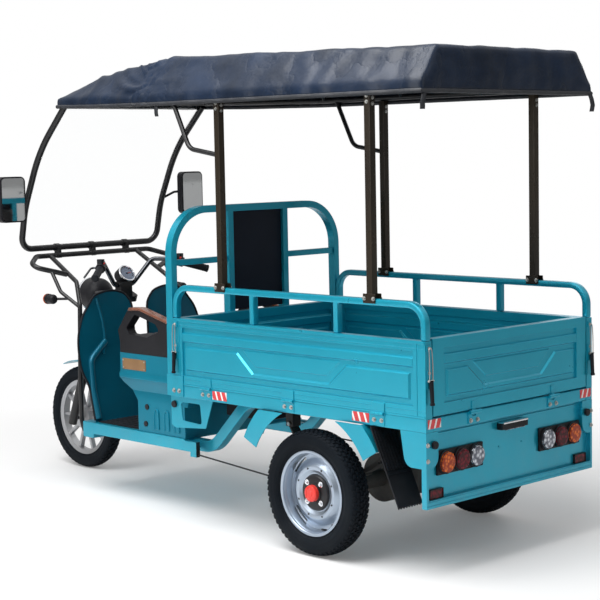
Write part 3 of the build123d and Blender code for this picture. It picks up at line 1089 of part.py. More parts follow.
def windscreen():
    """Hoop of the windscreen, cut off at the roof frame, and the sheet that fits inside it."""
    route, bends = screen_route()
    hoop = tube(route, SCREEN_TUBE, bends)
    for piece in roof_frame():
        hoop -= piece
    edge = SCREEN_TUBE / 2 + FIT_CLEARANCE
    first, *rest = [Vector(x, 0, z) for x, z in ahead_points(SCREEN_PROFILE)]
    first += (rest[0] - first).normalized() * edge
    path = FilletPolyline(first, *rest, radius=list(SCREEN_BENDS))
    sheet_half = SCREEN_HALF - edge
    section = Plane(origin=path @ 0, x_dir=(0, 1, 0), z_dir=path % 0) * Rectangle(2 * sheet_half, SCREEN_SHEET)
    sheet = sweep(section, path=path)
    thin = sheet.edges().filter_by(lambda edge: abs(edge.length - SCREEN_SHEET) < FIT_CLEARANCE)
    return largest(hoop), fillet(thin.sort_by(Axis.Z)[:2], SCREEN_CORNER - edge)


def front_end():
    """Leg shield, guard tubes, windscreen, mirrors and front indicators."""
    nodes = {"leg_shield": [leg_shield()]}
    guard = guard_tubes()
    hoop, sheet = windscreen()
    nodes["windscreen_hoop"] = [hoop]
    nodes["windscreen"] = [sheet]
    half = SCREEN_CLIP_WIDTH / 2
    screen_x, screen_z = ahead_points(SCREEN_PROFILE)[0]
    for y in SCREEN_CLIPS:
        clip = block(ahead(GUARD_TOP_AHEAD) - half, screen_x + half, y - half, y + half, GUARD_TOP_LEVEL,
                     screen_z) - hoop
        guard += min(clip.solids(), key=lambda piece: piece.bounding_box().min.Z)
    nodes["front_guard"] = [guard]
    deep, wide, tall = MIRROR_SIZE
    cx, cy, cz = ahead_points([MIRROR_CENTRE])[0]
    shell = block(cx - deep / 2, cx + deep / 2, cy - wide / 2, cy + wide / 2, cz - tall / 2, cz + tall / 2)
    shell = fillet(shell.edges().filter_by(Axis.X), MIRROR_CORNER)
    glass = block(cx - deep / 2 - MIRROR_GLASS, cx - deep / 2, cy - wide / 2 + MIRROR_RIM, cy + wide / 2 - MIRROR_RIM,
                  cz - tall / 2 + MIRROR_RIM, cz + tall / 2 - MIRROR_RIM)
    start, elbow = MIRROR_ARM_START, MIRROR_ARM_ELBOW
    arm = tube([(ahead(start[0]), SCREEN_HALF, start[1]), (ahead(elbow[0]), SCREEN_HALF + elbow[1], elbow[2]),
                (cx + MIRROR_ARM_END[0], cy, cz + MIRROR_ARM_END[1])], MIRROR_ARM, MIRROR_ARM_BEND)
    nodes["mirror_housings"] = both(shell + (arm - hoop))
    nodes["mirror_glass"] = both(fillet(glass.edges().filter_by(Axis.X), MIRROR_CORNER - MIRROR_RIM))
    ix, iy, iz = ahead_points([INDICATOR_CENTRE])[0]
    long, wide = INDICATOR_SIZE
    lamp = rod((ix - long / 2, iy, iz), (ix + long / 2, iy, iz), wide)
    lamp = fillet(lamp.edges(), INDICATOR_ROUND)
    lamp += rod((ix, iy, iz), ahead_points([INDICATOR_STALK_END])[0], INDICATOR_STALK)
    nodes["front_indicators"] = both(lamp - guard)
    return nodes


def canopy_rows():
    """Rows of the cover's outline: station, half width and height of the low edge, half width and height of the top."""
    stations = (CANOPY_REAR, ahead(CANOPY_RIDGE_AHEAD), ahead(CANOPY_SLOPE_AHEAD), ahead(CANOPY_FRONT_AHEAD))
    wide, narrow = BED_HALF + CANOPY_OVERHANG, SCREEN_HALF + CANOPY_NOSE_MARGIN
    share = (CANOPY_SLOPE_AHEAD - CANOPY_RIDGE_AHEAD) / (CANOPY_FRONT_AHEAD - CANOPY_RIDGE_AHEAD)
    halves = (wide, wide, wide + share * (narrow - wide), narrow)
    return [(x, half, low, half - drawn, top)
            for x, half, (low, drawn, top) in zip(stations, halves, CANOPY_SECTIONS)]


def canopy_row(x):
    """Row of the cover's outline at a station, taken between the rows of its table."""
    rows = canopy_rows()
    for first, second in zip(rows, rows[1:]):
        if x <= second[0]:
            share = (x - first[0]) / (second[0] - first[0])
            return [low + share * (high - low) for low, high in zip(first, second)]
    return list(rows[-1])


def canopy_ring(row, inset):
    """Closed outline of the cover at one row, drawn in by the inset."""
    x, low_half, low_z, top_half, top_z = row
    shoulder = min(low_z + CANOPY_VALANCE, top_z - 2 * CANOPY_COVER)
    points = [(low_half - inset, low_z - 2 * inset), (low_half - inset, shoulder), (top_half - inset, top_z - inset)]
    return Wire.make_polygon([(x, y, z) for y, z in points] + [(x, -y, z) for y, z in reversed(points)], close=True)


def posts():
    """The four canopy posts."""
    half = POST_SIZE / 2
    pieces = []
    for share in POST_SHARES:
        x = BED_LENGTH * share
        pieces += both(block(x - half, x + half, RAIL_Y - half, RAIL_Y + half, RAIL_TOP, POST_TOP))
    return pieces


def roof_frame():
    """Side tubes, bows and braces under the cover."""
    side_z = POST_TOP + CANOPY_TUBE / 2
    nose_x = ahead(CANOPY_FRONT_AHEAD - CANOPY_NOSE_SETBACK)
    nose_y = SCREEN_HALF + CANOPY_NOSE_MARGIN - CANOPY_TUBE
    nose_z = side_z + CANOPY_NOSE_RISE
    frame = tube([(CANOPY_REAR + CANOPY_TUBE, RAIL_Y, side_z), (ahead(CANOPY_RIDGE_AHEAD), RAIL_Y, side_z),
                  (nose_x, nose_y, nose_z)], CANOPY_TUBE, CANOPY_SIDE_BEND)
    post_x = BED_LENGTH * POST_SHARES[1]
    brace = tube([(post_x, RAIL_Y, BRACE_BOTTOM), (BED_LENGTH - BRACE_ELBOW_SETBACK, RAIL_Y, BRACE_ELBOW_LEVEL),
                  (BED_LENGTH - BRACE_TOP_SETBACK, RAIL_Y, side_z)], BRACE_DIAMETER, BRACE_BEND)
    brace -= block(post_x - POST_SIZE, post_x + POST_SIZE / 2, RAIL_Y - POST_SIZE, RAIL_Y + POST_SIZE, RAIL_TOP,
                   POST_TOP)
    frame += brace
    frame += other_side(frame)
    for share in CANOPY_BOW_SHARES:
        x = BED_LENGTH * share
        row = canopy_row(x)
        bow_z = row[4] - CANOPY_COVER - BOW_CLEARANCE - CANOPY_BOW / 2
        bow_y = row[3] - CANOPY_BOW
        frame += tube([(x, RAIL_Y, side_z), (x, bow_y, bow_z), (x, -bow_y, bow_z), (x, -RAIL_Y, side_z)], CANOPY_BOW,
                      CANOPY_BOW_BEND)
    frame += cross_rod(nose_x - CANOPY_TUBE, nose_z, -nose_y, nose_y, CANOPY_BOW)
    return [frame]


def canopy():
    """Posts with their clamps, roof frame and the cover."""
    nodes = {}
    half = POST_SIZE / 2
    clamped = []
    for post in posts():
        middle = post.center()
        for y in (middle.Y + half, middle.Y - half - CLAMP_PLATE):
            post += block(middle.X - CLAMP_LENGTH / 2, middle.X + CLAMP_LENGTH / 2, y, y + CLAMP_PLATE,
                          RAIL_TOP - CLAMP_HEIGHT / 2, RAIL_TOP + CLAMP_HEIGHT / 2)
        clamped.append(post)
    nodes["canopy_posts"] = clamped
    nodes["canopy_frame"] = roof_frame()
    rows = canopy_rows()
    inner_rows = [list(row) for row in rows]
    inner_rows[0][0] += CANOPY_COVER
    inner_rows[-1][0] -= CANOPY_COVER
    outer = Solid.make_loft([canopy_ring(row, 0) for row in rows], True)
    nodes["canopy_cover"] = [outer - Solid.make_loft([canopy_ring(row, CANOPY_COVER) for row in inner_rows], True)]
    return nodes


def build():
    """All nodes of the tricycle by name."""
    nodes = {}
    for part in (bed(), tailgate(), tail(), chassis(), rear_axle(), rear_wheel(1), rear_wheel(-1), front_wheel(),
                 steering(), driver_place(), front_end(), canopy()):
        nodes.update(part)
    return nodes


def main():
    """Write every node as a STEP file, moved so that the origin is under the middle."""
    os.makedirs("parts", exist_ok=True)
    for name, shapes in build().items():
        solids = [solid for shape in shapes for solid in shape.solids()]
        moved = [Pos(-MID_X, 0, 0) * solid for solid in solids]
        export_step(moved[0] if len(moved) == 1 else Compound(moved), f"parts/{name}.step")


main()
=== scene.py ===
"""Looks of an electric cargo tricycle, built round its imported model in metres."""

import logging
import math
from dataclasses import dataclass
from enum import Enum
from functools import cache

import bmesh
import bpy
from mathutils import Matrix, Vector, noise


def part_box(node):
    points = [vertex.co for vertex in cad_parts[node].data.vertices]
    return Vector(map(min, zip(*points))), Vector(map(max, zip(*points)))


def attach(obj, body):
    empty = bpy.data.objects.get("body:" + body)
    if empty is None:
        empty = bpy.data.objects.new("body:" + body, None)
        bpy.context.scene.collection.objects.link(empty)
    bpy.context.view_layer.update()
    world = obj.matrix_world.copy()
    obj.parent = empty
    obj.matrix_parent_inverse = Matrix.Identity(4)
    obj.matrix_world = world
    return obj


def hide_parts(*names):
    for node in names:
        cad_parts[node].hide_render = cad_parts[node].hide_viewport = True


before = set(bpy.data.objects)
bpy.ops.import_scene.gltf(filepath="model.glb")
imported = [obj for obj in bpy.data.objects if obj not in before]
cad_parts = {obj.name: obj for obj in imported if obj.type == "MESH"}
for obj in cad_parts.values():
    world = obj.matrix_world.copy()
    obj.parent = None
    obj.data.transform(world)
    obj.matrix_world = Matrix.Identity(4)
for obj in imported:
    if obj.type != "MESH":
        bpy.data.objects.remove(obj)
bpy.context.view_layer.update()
LOG = logging.getLogger("tricycle")
# from the bed's rear face forward to the frame's origin, in millimetres
MID_X = 1486.5
MM = 0.001
# left and right
SIDES = (1, -1)
BACK = Vector((-1, 0, 0))
LEFT = Vector((0, 1, 0))
UP = Vector((0, 0, 1))
# vertices closer than this, in metres, are one
WELD = 1e-6
CAD_WELD = 1e-5
# CAD faces that turn by less than this, in degrees, are one flat face
FLAT_TURN = 0.6
COAT_ROUGHNESS = 0.06
Colour = tuple[float, float, float]
Point = tuple[float, float, float]
Profile = list[tuple[float, float]]
Tree = bpy.types.NodeTree
Socket = bpy.types.NodeSocket
Object = bpy.types.Object
BMesh = bmesh.types.BMesh


class Body(Enum):
    """Bodies that pieces ride on."""

    CHASSIS = "chassis"
    STEERING = "steering"
    FRONT_WHEEL = "front_wheel"
    LEFT_WHEEL = "rear_wheel_left"
    RIGHT_WHEEL = "rear_wheel_right"
    TAILGATE = "tailgate"


class Pattern(Enum):
    """What a finish shows besides its colour drift, dust and grain."""

    PLAIN = "plain"
    FLAKE = "flake"
    STRIPE = "stripe"
    CRUMPLE = "crumple"
    PRISM = "prism"


def spot(x: float, y: float, z: float) -> Vector:
    """Point in metres from millimetres, with x forward from the bed's rear face."""
    return Vector(((x - MID_X) * MM, y * MM, z * MM))


def meshed(name: str, made: BMesh) -> bpy.types.Mesh:
    """Turn a bmesh into a mesh.

    Args:
        name: the mesh's name.
        made: the bmesh, which is freed.

    Returns:
        The mesh.
    """
    mesh = bpy.data.meshes.new(name)
    made.to_mesh(mesh)
    made.free()
    return mesh


def placed(name: str, mesh: bpy.types.Mesh) -> Object:
    """Put a mesh in the scene.

    Args:
        name: the object's name.
        mesh: the mesh.

    Returns:
        The object.
    """
    made = bpy.data.objects.new(name, mesh)
    bpy.context.scene.collection.objects.link(made)
    return made


def declare(made: Object, body: Body, slot: str, *stands_for: str) -> None:
    """Say what a piece rides on and replaces.

    Args:
        made: the piece.
        body: the body it rides on.
        slot: the record's material slot; not used.
        stands_for: CAD nodes that it replaces.
    """
    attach(made, body.value)
    if stands_for:
        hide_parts(*stands_for)


class NodeGroups:
    """Shader node groups that several finishes share, each built once."""

    @staticmethod
    def start(name: str, inputs: dict[str, float],
              outputs: list[str]) -> tuple[Tree, bpy.types.Node, bpy.types.Node]:
        """Begin a group with a vector input and named float sockets.

        Args:
            name: the group's name.
            inputs: float inputs with their usual values.
            outputs: names of the float outputs.

        Returns:
            The tree, its input node and its output node.
        """
        tree = bpy.data.node_groups.new(name, "ShaderNodeTree")
        tree.interface.new_socket("Vector", in_out="INPUT", socket_type="NodeSocketVector")
        for key, value in inputs.items():
            socket = tree.interface.new_socket(key, in_out="INPUT", socket_type="NodeSocketFloat")
            socket.default_value = value
        for key in outputs:
            tree.interface.new_socket(key, in_out="OUTPUT", socket_type="NodeSocketFloat")
        return tree, tree.nodes.new("NodeGroupInput"), tree.nodes.new("NodeGroupOutput")

    @staticmethod
    def math(tree: Tree, operation: str, first: Socket | float,
             second: Socket | float | None = None) -> Socket:
        """Add a Math node.

        Args:
            tree: the tree that takes the node.
            operation: Blender's name of the operation.
            first: a socket or a number.
            second: a socket, a number or nothing.

        Returns:
            The node's result.
        """
        node = tree.nodes.new("ShaderNodeMath")
        node.operation = operation
        for socket, value in zip(node.inputs, (first, second)):
            if isinstance(value, Socket):
                tree.links.new(value, socket)
            elif value is not None:
                socket.default_value = value
        return node.outputs[0]

    @staticmethod
    def noise(tree: Tree, vector: Socket, scale: Socket | float, detail: float) -> Socket:
        """Add a Noise texture.

        Args:
            tree: the tree that takes the node.
            vector: socket with the place.
            scale: a socket or a number.
            detail: octaves.

        Returns:
            The noise as a value.
        """
        node = tree.nodes.new("ShaderNodeTexNoise")
        tree.links.new(vector, node.inputs["Vector"])
        if isinstance(scale, Socket):
            tree.links.new(scale, node.inputs["Scale"])
        else:
            node.inputs["Scale"].default_value = scale
        node.inputs["Detail"].default_value = detail
        return node.outputs[0]

    @staticmethod
    def ramp(tree: Tree, value: Socket, low: float, high: float) -> Socket:
        """Add a Map Range from low and high to 0 and 1.

        Args:
            tree: the tree that takes the node.
            value: socket to map.
            low: value that gives 0.
            high: value that gives 1.

        Returns:
            The mapped value.
        """
        node = tree.nodes.new("ShaderNodeMapRange")
        node.inputs["From Min"].default_value = low
        node.inputs["From Max"].default_value = high
        tree.links.new(value, node.inputs["Value"])
        return node.outputs[0]

    @classmethod
    @cache
    def drift(cls) -> Tree:
        """Slow change of shade over a surface."""
        tree, given, out = cls.start("shade_drift", {"Scale": 3.0}, ["Mask"])
        wide = cls.noise(tree, given.outputs["Vector"], given.outputs["Scale"], 3.0)
        tree.links.new(cls.ramp(tree, wide, 0.35, 0.65), out.inputs["Mask"])
        return tree

    @classmethod
    @cache
    def dust(cls) -> Tree:
        """Road dust that thins out with height, in blotches."""
        tree, given, out = cls.start("road_dust", {"Amount": 0.3, "Top": 0.6}, ["Mask"])
        apart = tree.nodes.new("ShaderNodeSeparateXYZ")
        tree.links.new(given.outputs["Vector"], apart.inputs[0])
        share = cls.math(tree, "DIVIDE", apart.outputs[2], given.outputs["Top"])
        low = cls.math(tree, "SUBTRACT", 1.0, share)
        low = cls.math(tree, "MAXIMUM", low, 0.0)
        blotch = cls.ramp(tree, cls.noise(tree, given.outputs["Vector"], 14.0, 5.0), 0.3, 0.75)
        mask = cls.math(tree, "MULTIPLY", low, blotch)
        tree.links.new(cls.math(tree, "MULTIPLY", mask, given.outputs["Amount"]), out.inputs["Mask"])
        return tree

    @classmethod
    @cache
    def grain(cls) -> Tree:
        """Fine grain for bump, and a broad smear for roughness."""
        tree, given, out = cls.start("fine_grain", {"Scale": 600.0}, ["Height", "Smear"])
        fine = cls.noise(tree, given.outputs["Vector"], given.outputs["Scale"], 2.0)
        tree.links.new(fine, out.inputs["Height"])
        smear = cls.noise(tree, given.outputs["Vector"], 9.0, 6.0)
        tree.links.new(cls.math(tree, "SUBTRACT", smear, 0.5), out.inputs["Smear"])
        return tree

    @classmethod
    @cache
    def scuff(cls) -> Tree:
        """Sparse rubbed spots."""
        tree, given, out = cls.start("rubbed_spots", {"Scale": 30.0}, ["Mask"])
        spots_of = cls.noise(tree, given.outputs["Vector"], given.outputs["Scale"], 8.0)
        tree.links.new(cls.ramp(tree, spots_of, 0.66, 0.74), out.inputs["Mask"])
        return tree

    @classmethod
    @cache
    def crumple(cls) -> Tree:
        """Creases and weave of coated cloth, and a painted sheen on one side of its broad folds."""
        tree, given, out = cls.start("cloth_crumple_painted_sheen", {"Scale": 7.0}, ["Height", "Shade"])
        vector = given.outputs["Vector"]
        broad = cls.noise(tree, vector, given.outputs["Scale"], 6.0)
        crease = cls.math(tree, "ABSOLUTE", cls.math(tree, "SUBTRACT", broad, 0.5))
        crease = cls.math(tree, "POWER", cls.ramp(tree, crease, 0.0, 0.16), 0.5)
        threads = []
        for direction in ("X", "Y"):
            wave = tree.nodes.new("ShaderNodeTexWave")
            wave.bands_direction = direction
            wave.inputs["Scale"].default_value = 160.0
            tree.links.new(vector, wave.inputs["Vector"])
            threads.append(wave.outputs["Fac"])
        weave = cls.math(tree, "MULTIPLY", threads[0], threads[1])
        total = cls.math(tree, "ADD", crease, cls.math(tree, "MULTIPLY", weave, 0.04))
        tree.links.new(total, out.inputs["Height"])
        # Shade lightens one side of each broad fold: a painted sheen on the cloth
        tree.links.new(cls.ramp(tree, broad, 0.3, 0.7), out.inputs["Shade"])
        return tree

    @classmethod
    @cache
    def flake(cls) -> Tree:
        """Tiny metallic flakes of a paint."""
        tree, given, out = cls.start("paint_flake", {"Scale": 1400.0}, ["Shade"])
        cells = tree.nodes.new("ShaderNodeTexVoronoi")
        tree.links.new(given.outputs["Vector"], cells.inputs["Vector"])
        tree.links.new(given.outputs["Scale"], cells.inputs["Scale"])
        apart = tree.nodes.new("ShaderNodeSeparateColor")
        tree.links.new(cells.outputs["Color"], apart.inputs[0])
        tree.links.new(apart.outputs[0], out.inputs["Shade"])
        return tree


@dataclass(frozen=True)
class Finish:
    """One finish of the tricycle, made into a material once."""

    name: str
    colour: Colour
    shade: Colour
    roughness: float = 0.45
    metallic: float = 0.0
    coat: float = 0.0
    transmission: float = 0.0
    alpha: float = 1.0
    ior: float = 1.5
    specular: float = 0.4
    dust: float = 0.12
    dust_top: float = 0.7
    dust_colour: Colour = (0.30, 0.27, 0.23)
    drift: float = 3.0
    grain: float = 600.0
    bump: float = 0.08
    smear: float = 0.12
    pattern: Pattern = Pattern.PLAIN
    pattern_scale: float = 7.0

    def material(self) -> bpy.types.Material:
        """The finish as a material, built at first use."""
        return bpy.data.materials.get(f"{self.name}_finish") or self.build()

    @staticmethod
    def group(tree: Tree, made: Tree, vector: Socket, **values: float) -> bpy.types.Node:
        """Place a shared group in the material.

        Args:
            tree: the material's tree.
            made: the group.
            vector: socket with the place.
            values: the group's float inputs.

        Returns:
            The group's node.
        """
        node = tree.nodes.new("ShaderNodeGroup")
        node.node_tree = made
        tree.links.new(vector, node.inputs["Vector"])
        for key, value in values.items():
            node.inputs[key].default_value = value
        return node

    @staticmethod
    def mix(tree: Tree, share: Socket, first: Socket | Colour, second: Socket | Colour) -> Socket:
        """Mix two colours.

        Args:
            tree: the material's tree.
            share: socket with the second colour's share.
            first: socket or colour.
            second: socket or colour.

        Returns:
            The mixed colour.
        """
        node = tree.nodes.new("ShaderNodeMix")
        node.data_type = "RGBA"
        tree.links.new(share, node.inputs[0])
        for socket, value in ((node.inputs[6], first), (node.inputs[7], second)):
            if isinstance(value, Socket):
                tree.links.new(value, socket)
            else:
                socket.default_value = (*value, 1.0)
        return node.outputs[2]

    def stripes(self, tree: Tree, vector: Socket) -> Socket:
        """Mask of slanted stripes.

        Args:
            tree: the material's tree.
            vector: socket with the place.

        Returns:
            Zero or one.
        """
        along = tree.nodes.new("ShaderNodeVectorMath")
        along.operation = "DOT_PRODUCT"
        along.inputs[1].default_value = (-1.0, 1.0, 0.35)
        tree.links.new(vector, along.inputs[0])
        turns = NodeGroups.math(tree, "MULTIPLY", along.outputs["Value"], self.pattern_scale)
        turns = NodeGroups.math(tree, "FRACT", turns)
        return NodeGroups.math(tree, "GREATER_THAN", turns, 0.70)

    def build(self) -> bpy.types.Material:
        """Make the material's nodes.

        Returns:
            The material.
        """
        material = bpy.data.materials.new(f"{self.name}_finish")
        material.use_nodes = True
        tree = material.node_tree
        shader = tree.nodes["Principled BSDF"]
        vector = tree.nodes.new("ShaderNodeTexCoord").outputs["Object"]
        drift = self.group(tree, NodeGroups.drift(), vector, Scale=self.drift).outputs["Mask"]
        grain = self.group(tree, NodeGroups.grain(), vector, Scale=self.grain)
        height = grain.outputs["Height"]
        if self.pattern is Pattern.STRIPE:
            drift = self.stripes(tree, vector)
        if self.pattern is Pattern.FLAKE:
            flake = self.group(tree, NodeGroups.flake(), vector).outputs["Shade"]
            drift = NodeGroups.math(tree, "ADD", NodeGroups.math(tree, "MULTIPLY", drift, 0.6),
                                    NodeGroups.math(tree, "MULTIPLY", flake, 0.4))
        if self.pattern is Pattern.CRUMPLE:
            cloth = self.group(tree, NodeGroups.crumple(), vector, Scale=self.pattern_scale)
            # for cloth the colour mix follows the folds, a painted sheen
            height, drift = cloth.outputs["Height"], cloth.outputs["Shade"]
        if self.pattern is Pattern.PRISM:
            cells = tree.nodes.new("ShaderNodeTexVoronoi")
            cells.inputs["Scale"].default_value = self.pattern_scale
            tree.links.new(vector, cells.inputs["Vector"])
            height = cells.outputs["Distance"]
            drift = NodeGroups.ramp(tree, height, 0.15, 0.6)
        colour = self.mix(tree, drift, self.colour, self.shade)
        dust = self.group(tree, NodeGroups.dust(), vector, Amount=self.dust, Top=self.dust_top)
        dust = dust.outputs["Mask"]
        colour = self.mix(tree, dust, colour, self.dust_colour)
        tree.links.new(colour, shader.inputs["Base Color"])
        rub = self.group(tree, NodeGroups.scuff(), vector, Scale=24.0).outputs["Mask"]
        rough = self.roughness
        for mask, weight in ((grain.outputs["Smear"], self.smear), (rub, 0.08), (dust, 0.4)):
            rough = NodeGroups.math(tree, "ADD", NodeGroups.math(tree, "MULTIPLY", mask, weight), rough)
        tree.links.new(rough, shader.inputs["Roughness"])
        bump = tree.nodes.new("ShaderNodeBump")
        bump.inputs["Strength"].default_value = self.bump
        bump.inputs["Distance"].default_value = 0.004 if self.pattern is Pattern.CRUMPLE else 0.001
        tree.links.new(height, bump.inputs["Height"])
        tree.links.new(bump.outputs[0], shader.inputs["Normal"])
        for socket, value in (("Metallic", self.metallic), ("Coat Weight", self.coat),
                              ("Coat Roughness", COAT_ROUGHNESS), ("Alpha", self.alpha), ("IOR", self.ior),
                              ("Transmission Weight", self.transmission),
                              ("Specular IOR Level", self.specular)):
            shader.inputs[socket].default_value = value
        return material


TEAL = Finish("teal_metallic_paint", (0.004, 0.30, 0.43), (0.008, 0.37, 0.51), 0.30, 0.5, 0.3, drift=2.0,
              pattern=Pattern.FLAKE, dust=0.16, dust_top=0.62)
# the body's teal paint darkened: painted shade of the canopy on the seat box and its fittings
SEAT_BOX_TEAL_PAINTED_SHADE = Finish("seat_box_teal_painted_shade", (0.002, 0.16, 0.24), (0.004, 0.21, 0.31), 0.34, 0.35, 0.1,
                   specular=0.2, pattern=Pattern.FLAKE, dust=0.05, dust_top=0.6)
# the body's teal paint darkened further: painted shade on the leg shield and its creases
SHIELD_TEAL_PAINTED_SHADE = Finish("shield_teal_painted_shade", (0.001, 0.085, 0.14), (0.003, 0.12, 0.19), 0.32, 0.35, 0.15,
                    specular=0.2, pattern=Pattern.FLAKE, dust=0.04, dust_top=0.6)
BLACK_STEEL = Finish("black_satin_steel", (0.007, 0.007, 0.008), (0.013, 0.013, 0.014), 0.30, 0.0, 0.15,
                     dust=0.02, specular=0.3)
# black enamel whose brown second colour is a painted reflection of the warm ground
POST_ENAMEL_PAINTED_REFLECTION = Finish("post_enamel_painted_reflection", (0.012, 0.009, 0.006), (0.034, 0.024, 0.014), 0.28, 0.3, 0.15,
                     drift=1.6, dust=0.03, specular=0.3)
UNDERBODY = Finish("underbody_black", (0.016, 0.016, 0.017), (0.034, 0.032, 0.030), 0.6, 0.1, dust=0.45,
                   dust_top=0.6)
# chrome with a low colour: painted reflection of dark surroundings on the handlebar
CHROME_PAINTED_DARK_REFLECTION = Finish("chrome_painted_dark_reflection", (0.055, 0.058, 0.064), (0.10, 0.105, 0.115), 0.16, 1.0, smear=0.1,
                     dust=0.02)
CHROME = Finish("bright_chrome", (0.80, 0.81, 0.83), (0.70, 0.71, 0.74), 0.12, 1.0, smear=0.1, dust=0.08)
ZINC = Finish("zinc_fastener", (0.52, 0.52, 0.50), (0.38, 0.38, 0.36), 0.34, 0.9, dust=0.1)
RIM_SILVER = Finish("rim_silver_paint", (0.40, 0.46, 0.54), (0.33, 0.39, 0.47), 0.30, 0.8, 0.2, dust=0.1,
                    dust_top=0.5, pattern=Pattern.FLAKE)
CAST_ALLOY = Finish("cast_alloy", (0.46, 0.47, 0.49), (0.38, 0.39, 0.41), 0.42, 0.85, grain=300.0, bump=0.2,
                    dust=0.3)
HUB_BLACK = Finish("hub_black", (0.007, 0.007, 0.009), (0.014, 0.014, 0.017), 0.36, 0.0, 0.1, dust=0.08,
                   dust_top=0.5, specular=0.22)
CAP_RED = Finish("cap_red", (0.86, 0.045, 0.030), (0.74, 0.032, 0.022), 0.36, 0.0, 0.2, dust=0.04)
RUBBER = Finish("tyre_rubber", (0.003, 0.005, 0.008), (0.006, 0.009, 0.013), 0.6, grain=900.0, bump=0.2,
                dust=0.02, specular=0.08, dust_top=0.5)
SOFT_RUBBER = Finish("moulded_rubber", (0.007, 0.008, 0.011), (0.013, 0.015, 0.019), 0.5, grain=700.0,
                     bump=0.25, dust=0.06, dust_top=0.7, specular=0.14)
PLASTIC = Finish("black_plastic", (0.008, 0.008, 0.010), (0.015, 0.015, 0.018), 0.42, grain=1100.0,
                 bump=0.3, dust=0.02, specular=0.18)
VINYL = Finish("seat_vinyl", (0.009, 0.009, 0.011), (0.017, 0.016, 0.018), 0.42, grain=420.0, bump=0.45,
               specular=0.3, dust=0.03)
BOARD_VINYL = Finish("backboard_vinyl", (0.006, 0.009, 0.017), (0.010, 0.014, 0.025), 0.5, grain=500.0,
                     bump=0.35, dust=0.02, specular=0.16)
BROWN_PAD = Finish("brown_armrest", (0.085, 0.024, 0.011), (0.20, 0.062, 0.026), 0.26, coat=0.5, drift=16.0,
                   grain=240.0, bump=0.25, dust=0.03)
AMBER = Finish("amber_lens", (0.78, 0.16, 0.010), (0.30, 0.030, 0.002), 0.14, coat=0.2, specular=0.25,
               pattern=Pattern.PRISM, pattern_scale=75.0, bump=0.35, dust=0.0)
RED = Finish("red_lens", (0.20, 0.004, 0.016), (0.045, 0.001, 0.004), 0.14, coat=0.15, specular=0.15,
             pattern=Pattern.PRISM, pattern_scale=75.0, bump=0.35, dust=0.0)
CLEAR = Finish("clear_lens", (0.66, 0.69, 0.74), (0.10, 0.11, 0.14), 0.10, 0.6, coat=0.5,
               pattern=Pattern.PRISM, pattern_scale=60.0, bump=1.0, dust=0.0)
SCREEN = Finish("screen_glass", (0.93, 0.96, 0.96), (0.90, 0.94, 0.95), 0.02, transmission=1.0, alpha=0.12,
                ior=1.12, smear=0.02, bump=0.0, dust=0.0)
MIRROR = Finish("mirror_silver", (0.86, 0.88, 0.88), (0.80, 0.82, 0.83), 0.03, 1.0, smear=0.03, bump=0.0,
                dust=0.03)
# dark blue canvas; the brighter blue it drifts to along the folds is a painted sheen
CANOPY_PAINTED_SHEEN = Finish("coated_canvas_painted_sheen", (0.003, 0.008, 0.019), (0.006, 0.017, 0.043), 0.32, coat=0.06,
                specular=0.24, pattern=Pattern.CRUMPLE, pattern_scale=4.5, bump=0.55, dust=0.02,
                dust_top=2.6)
# the binding's lighter second colour along its folds is a painted sheen too
HEM = Finish("canvas_binding", (0.010, 0.012, 0.016), (0.020, 0.022, 0.028), 0.5, pattern=Pattern.CRUMPLE,
             bump=0.2, pattern_scale=20.0, dust=0.04, dust_top=2.4)
TAPE = Finish("striped_tape", (0.62, 0.022, 0.026), (0.80, 0.79, 0.78), 0.28, coat=0.5,
              pattern=Pattern.STRIPE, pattern_scale=32.0, dust=0.08)
DIAL = Finish("dial_face", (0.05, 0.07, 0.12), (0.10, 0.14, 0.22), 0.22, coat=1.0, dust=0.0)
PLATE = Finish("blank_plate", (0.19, 0.095, 0.034), (0.27, 0.15, 0.060), 0.36, coat=0.3, drift=5.0,
               dust=0.03)
FLOOR_SHEET = Finish("bed_floor_paint", (0.008, 0.19, 0.28), (0.014, 0.24, 0.34), 0.45, 0.35, 0.3,
                     pattern=Pattern.FLAKE, dust=0.35, dust_top=1.6)


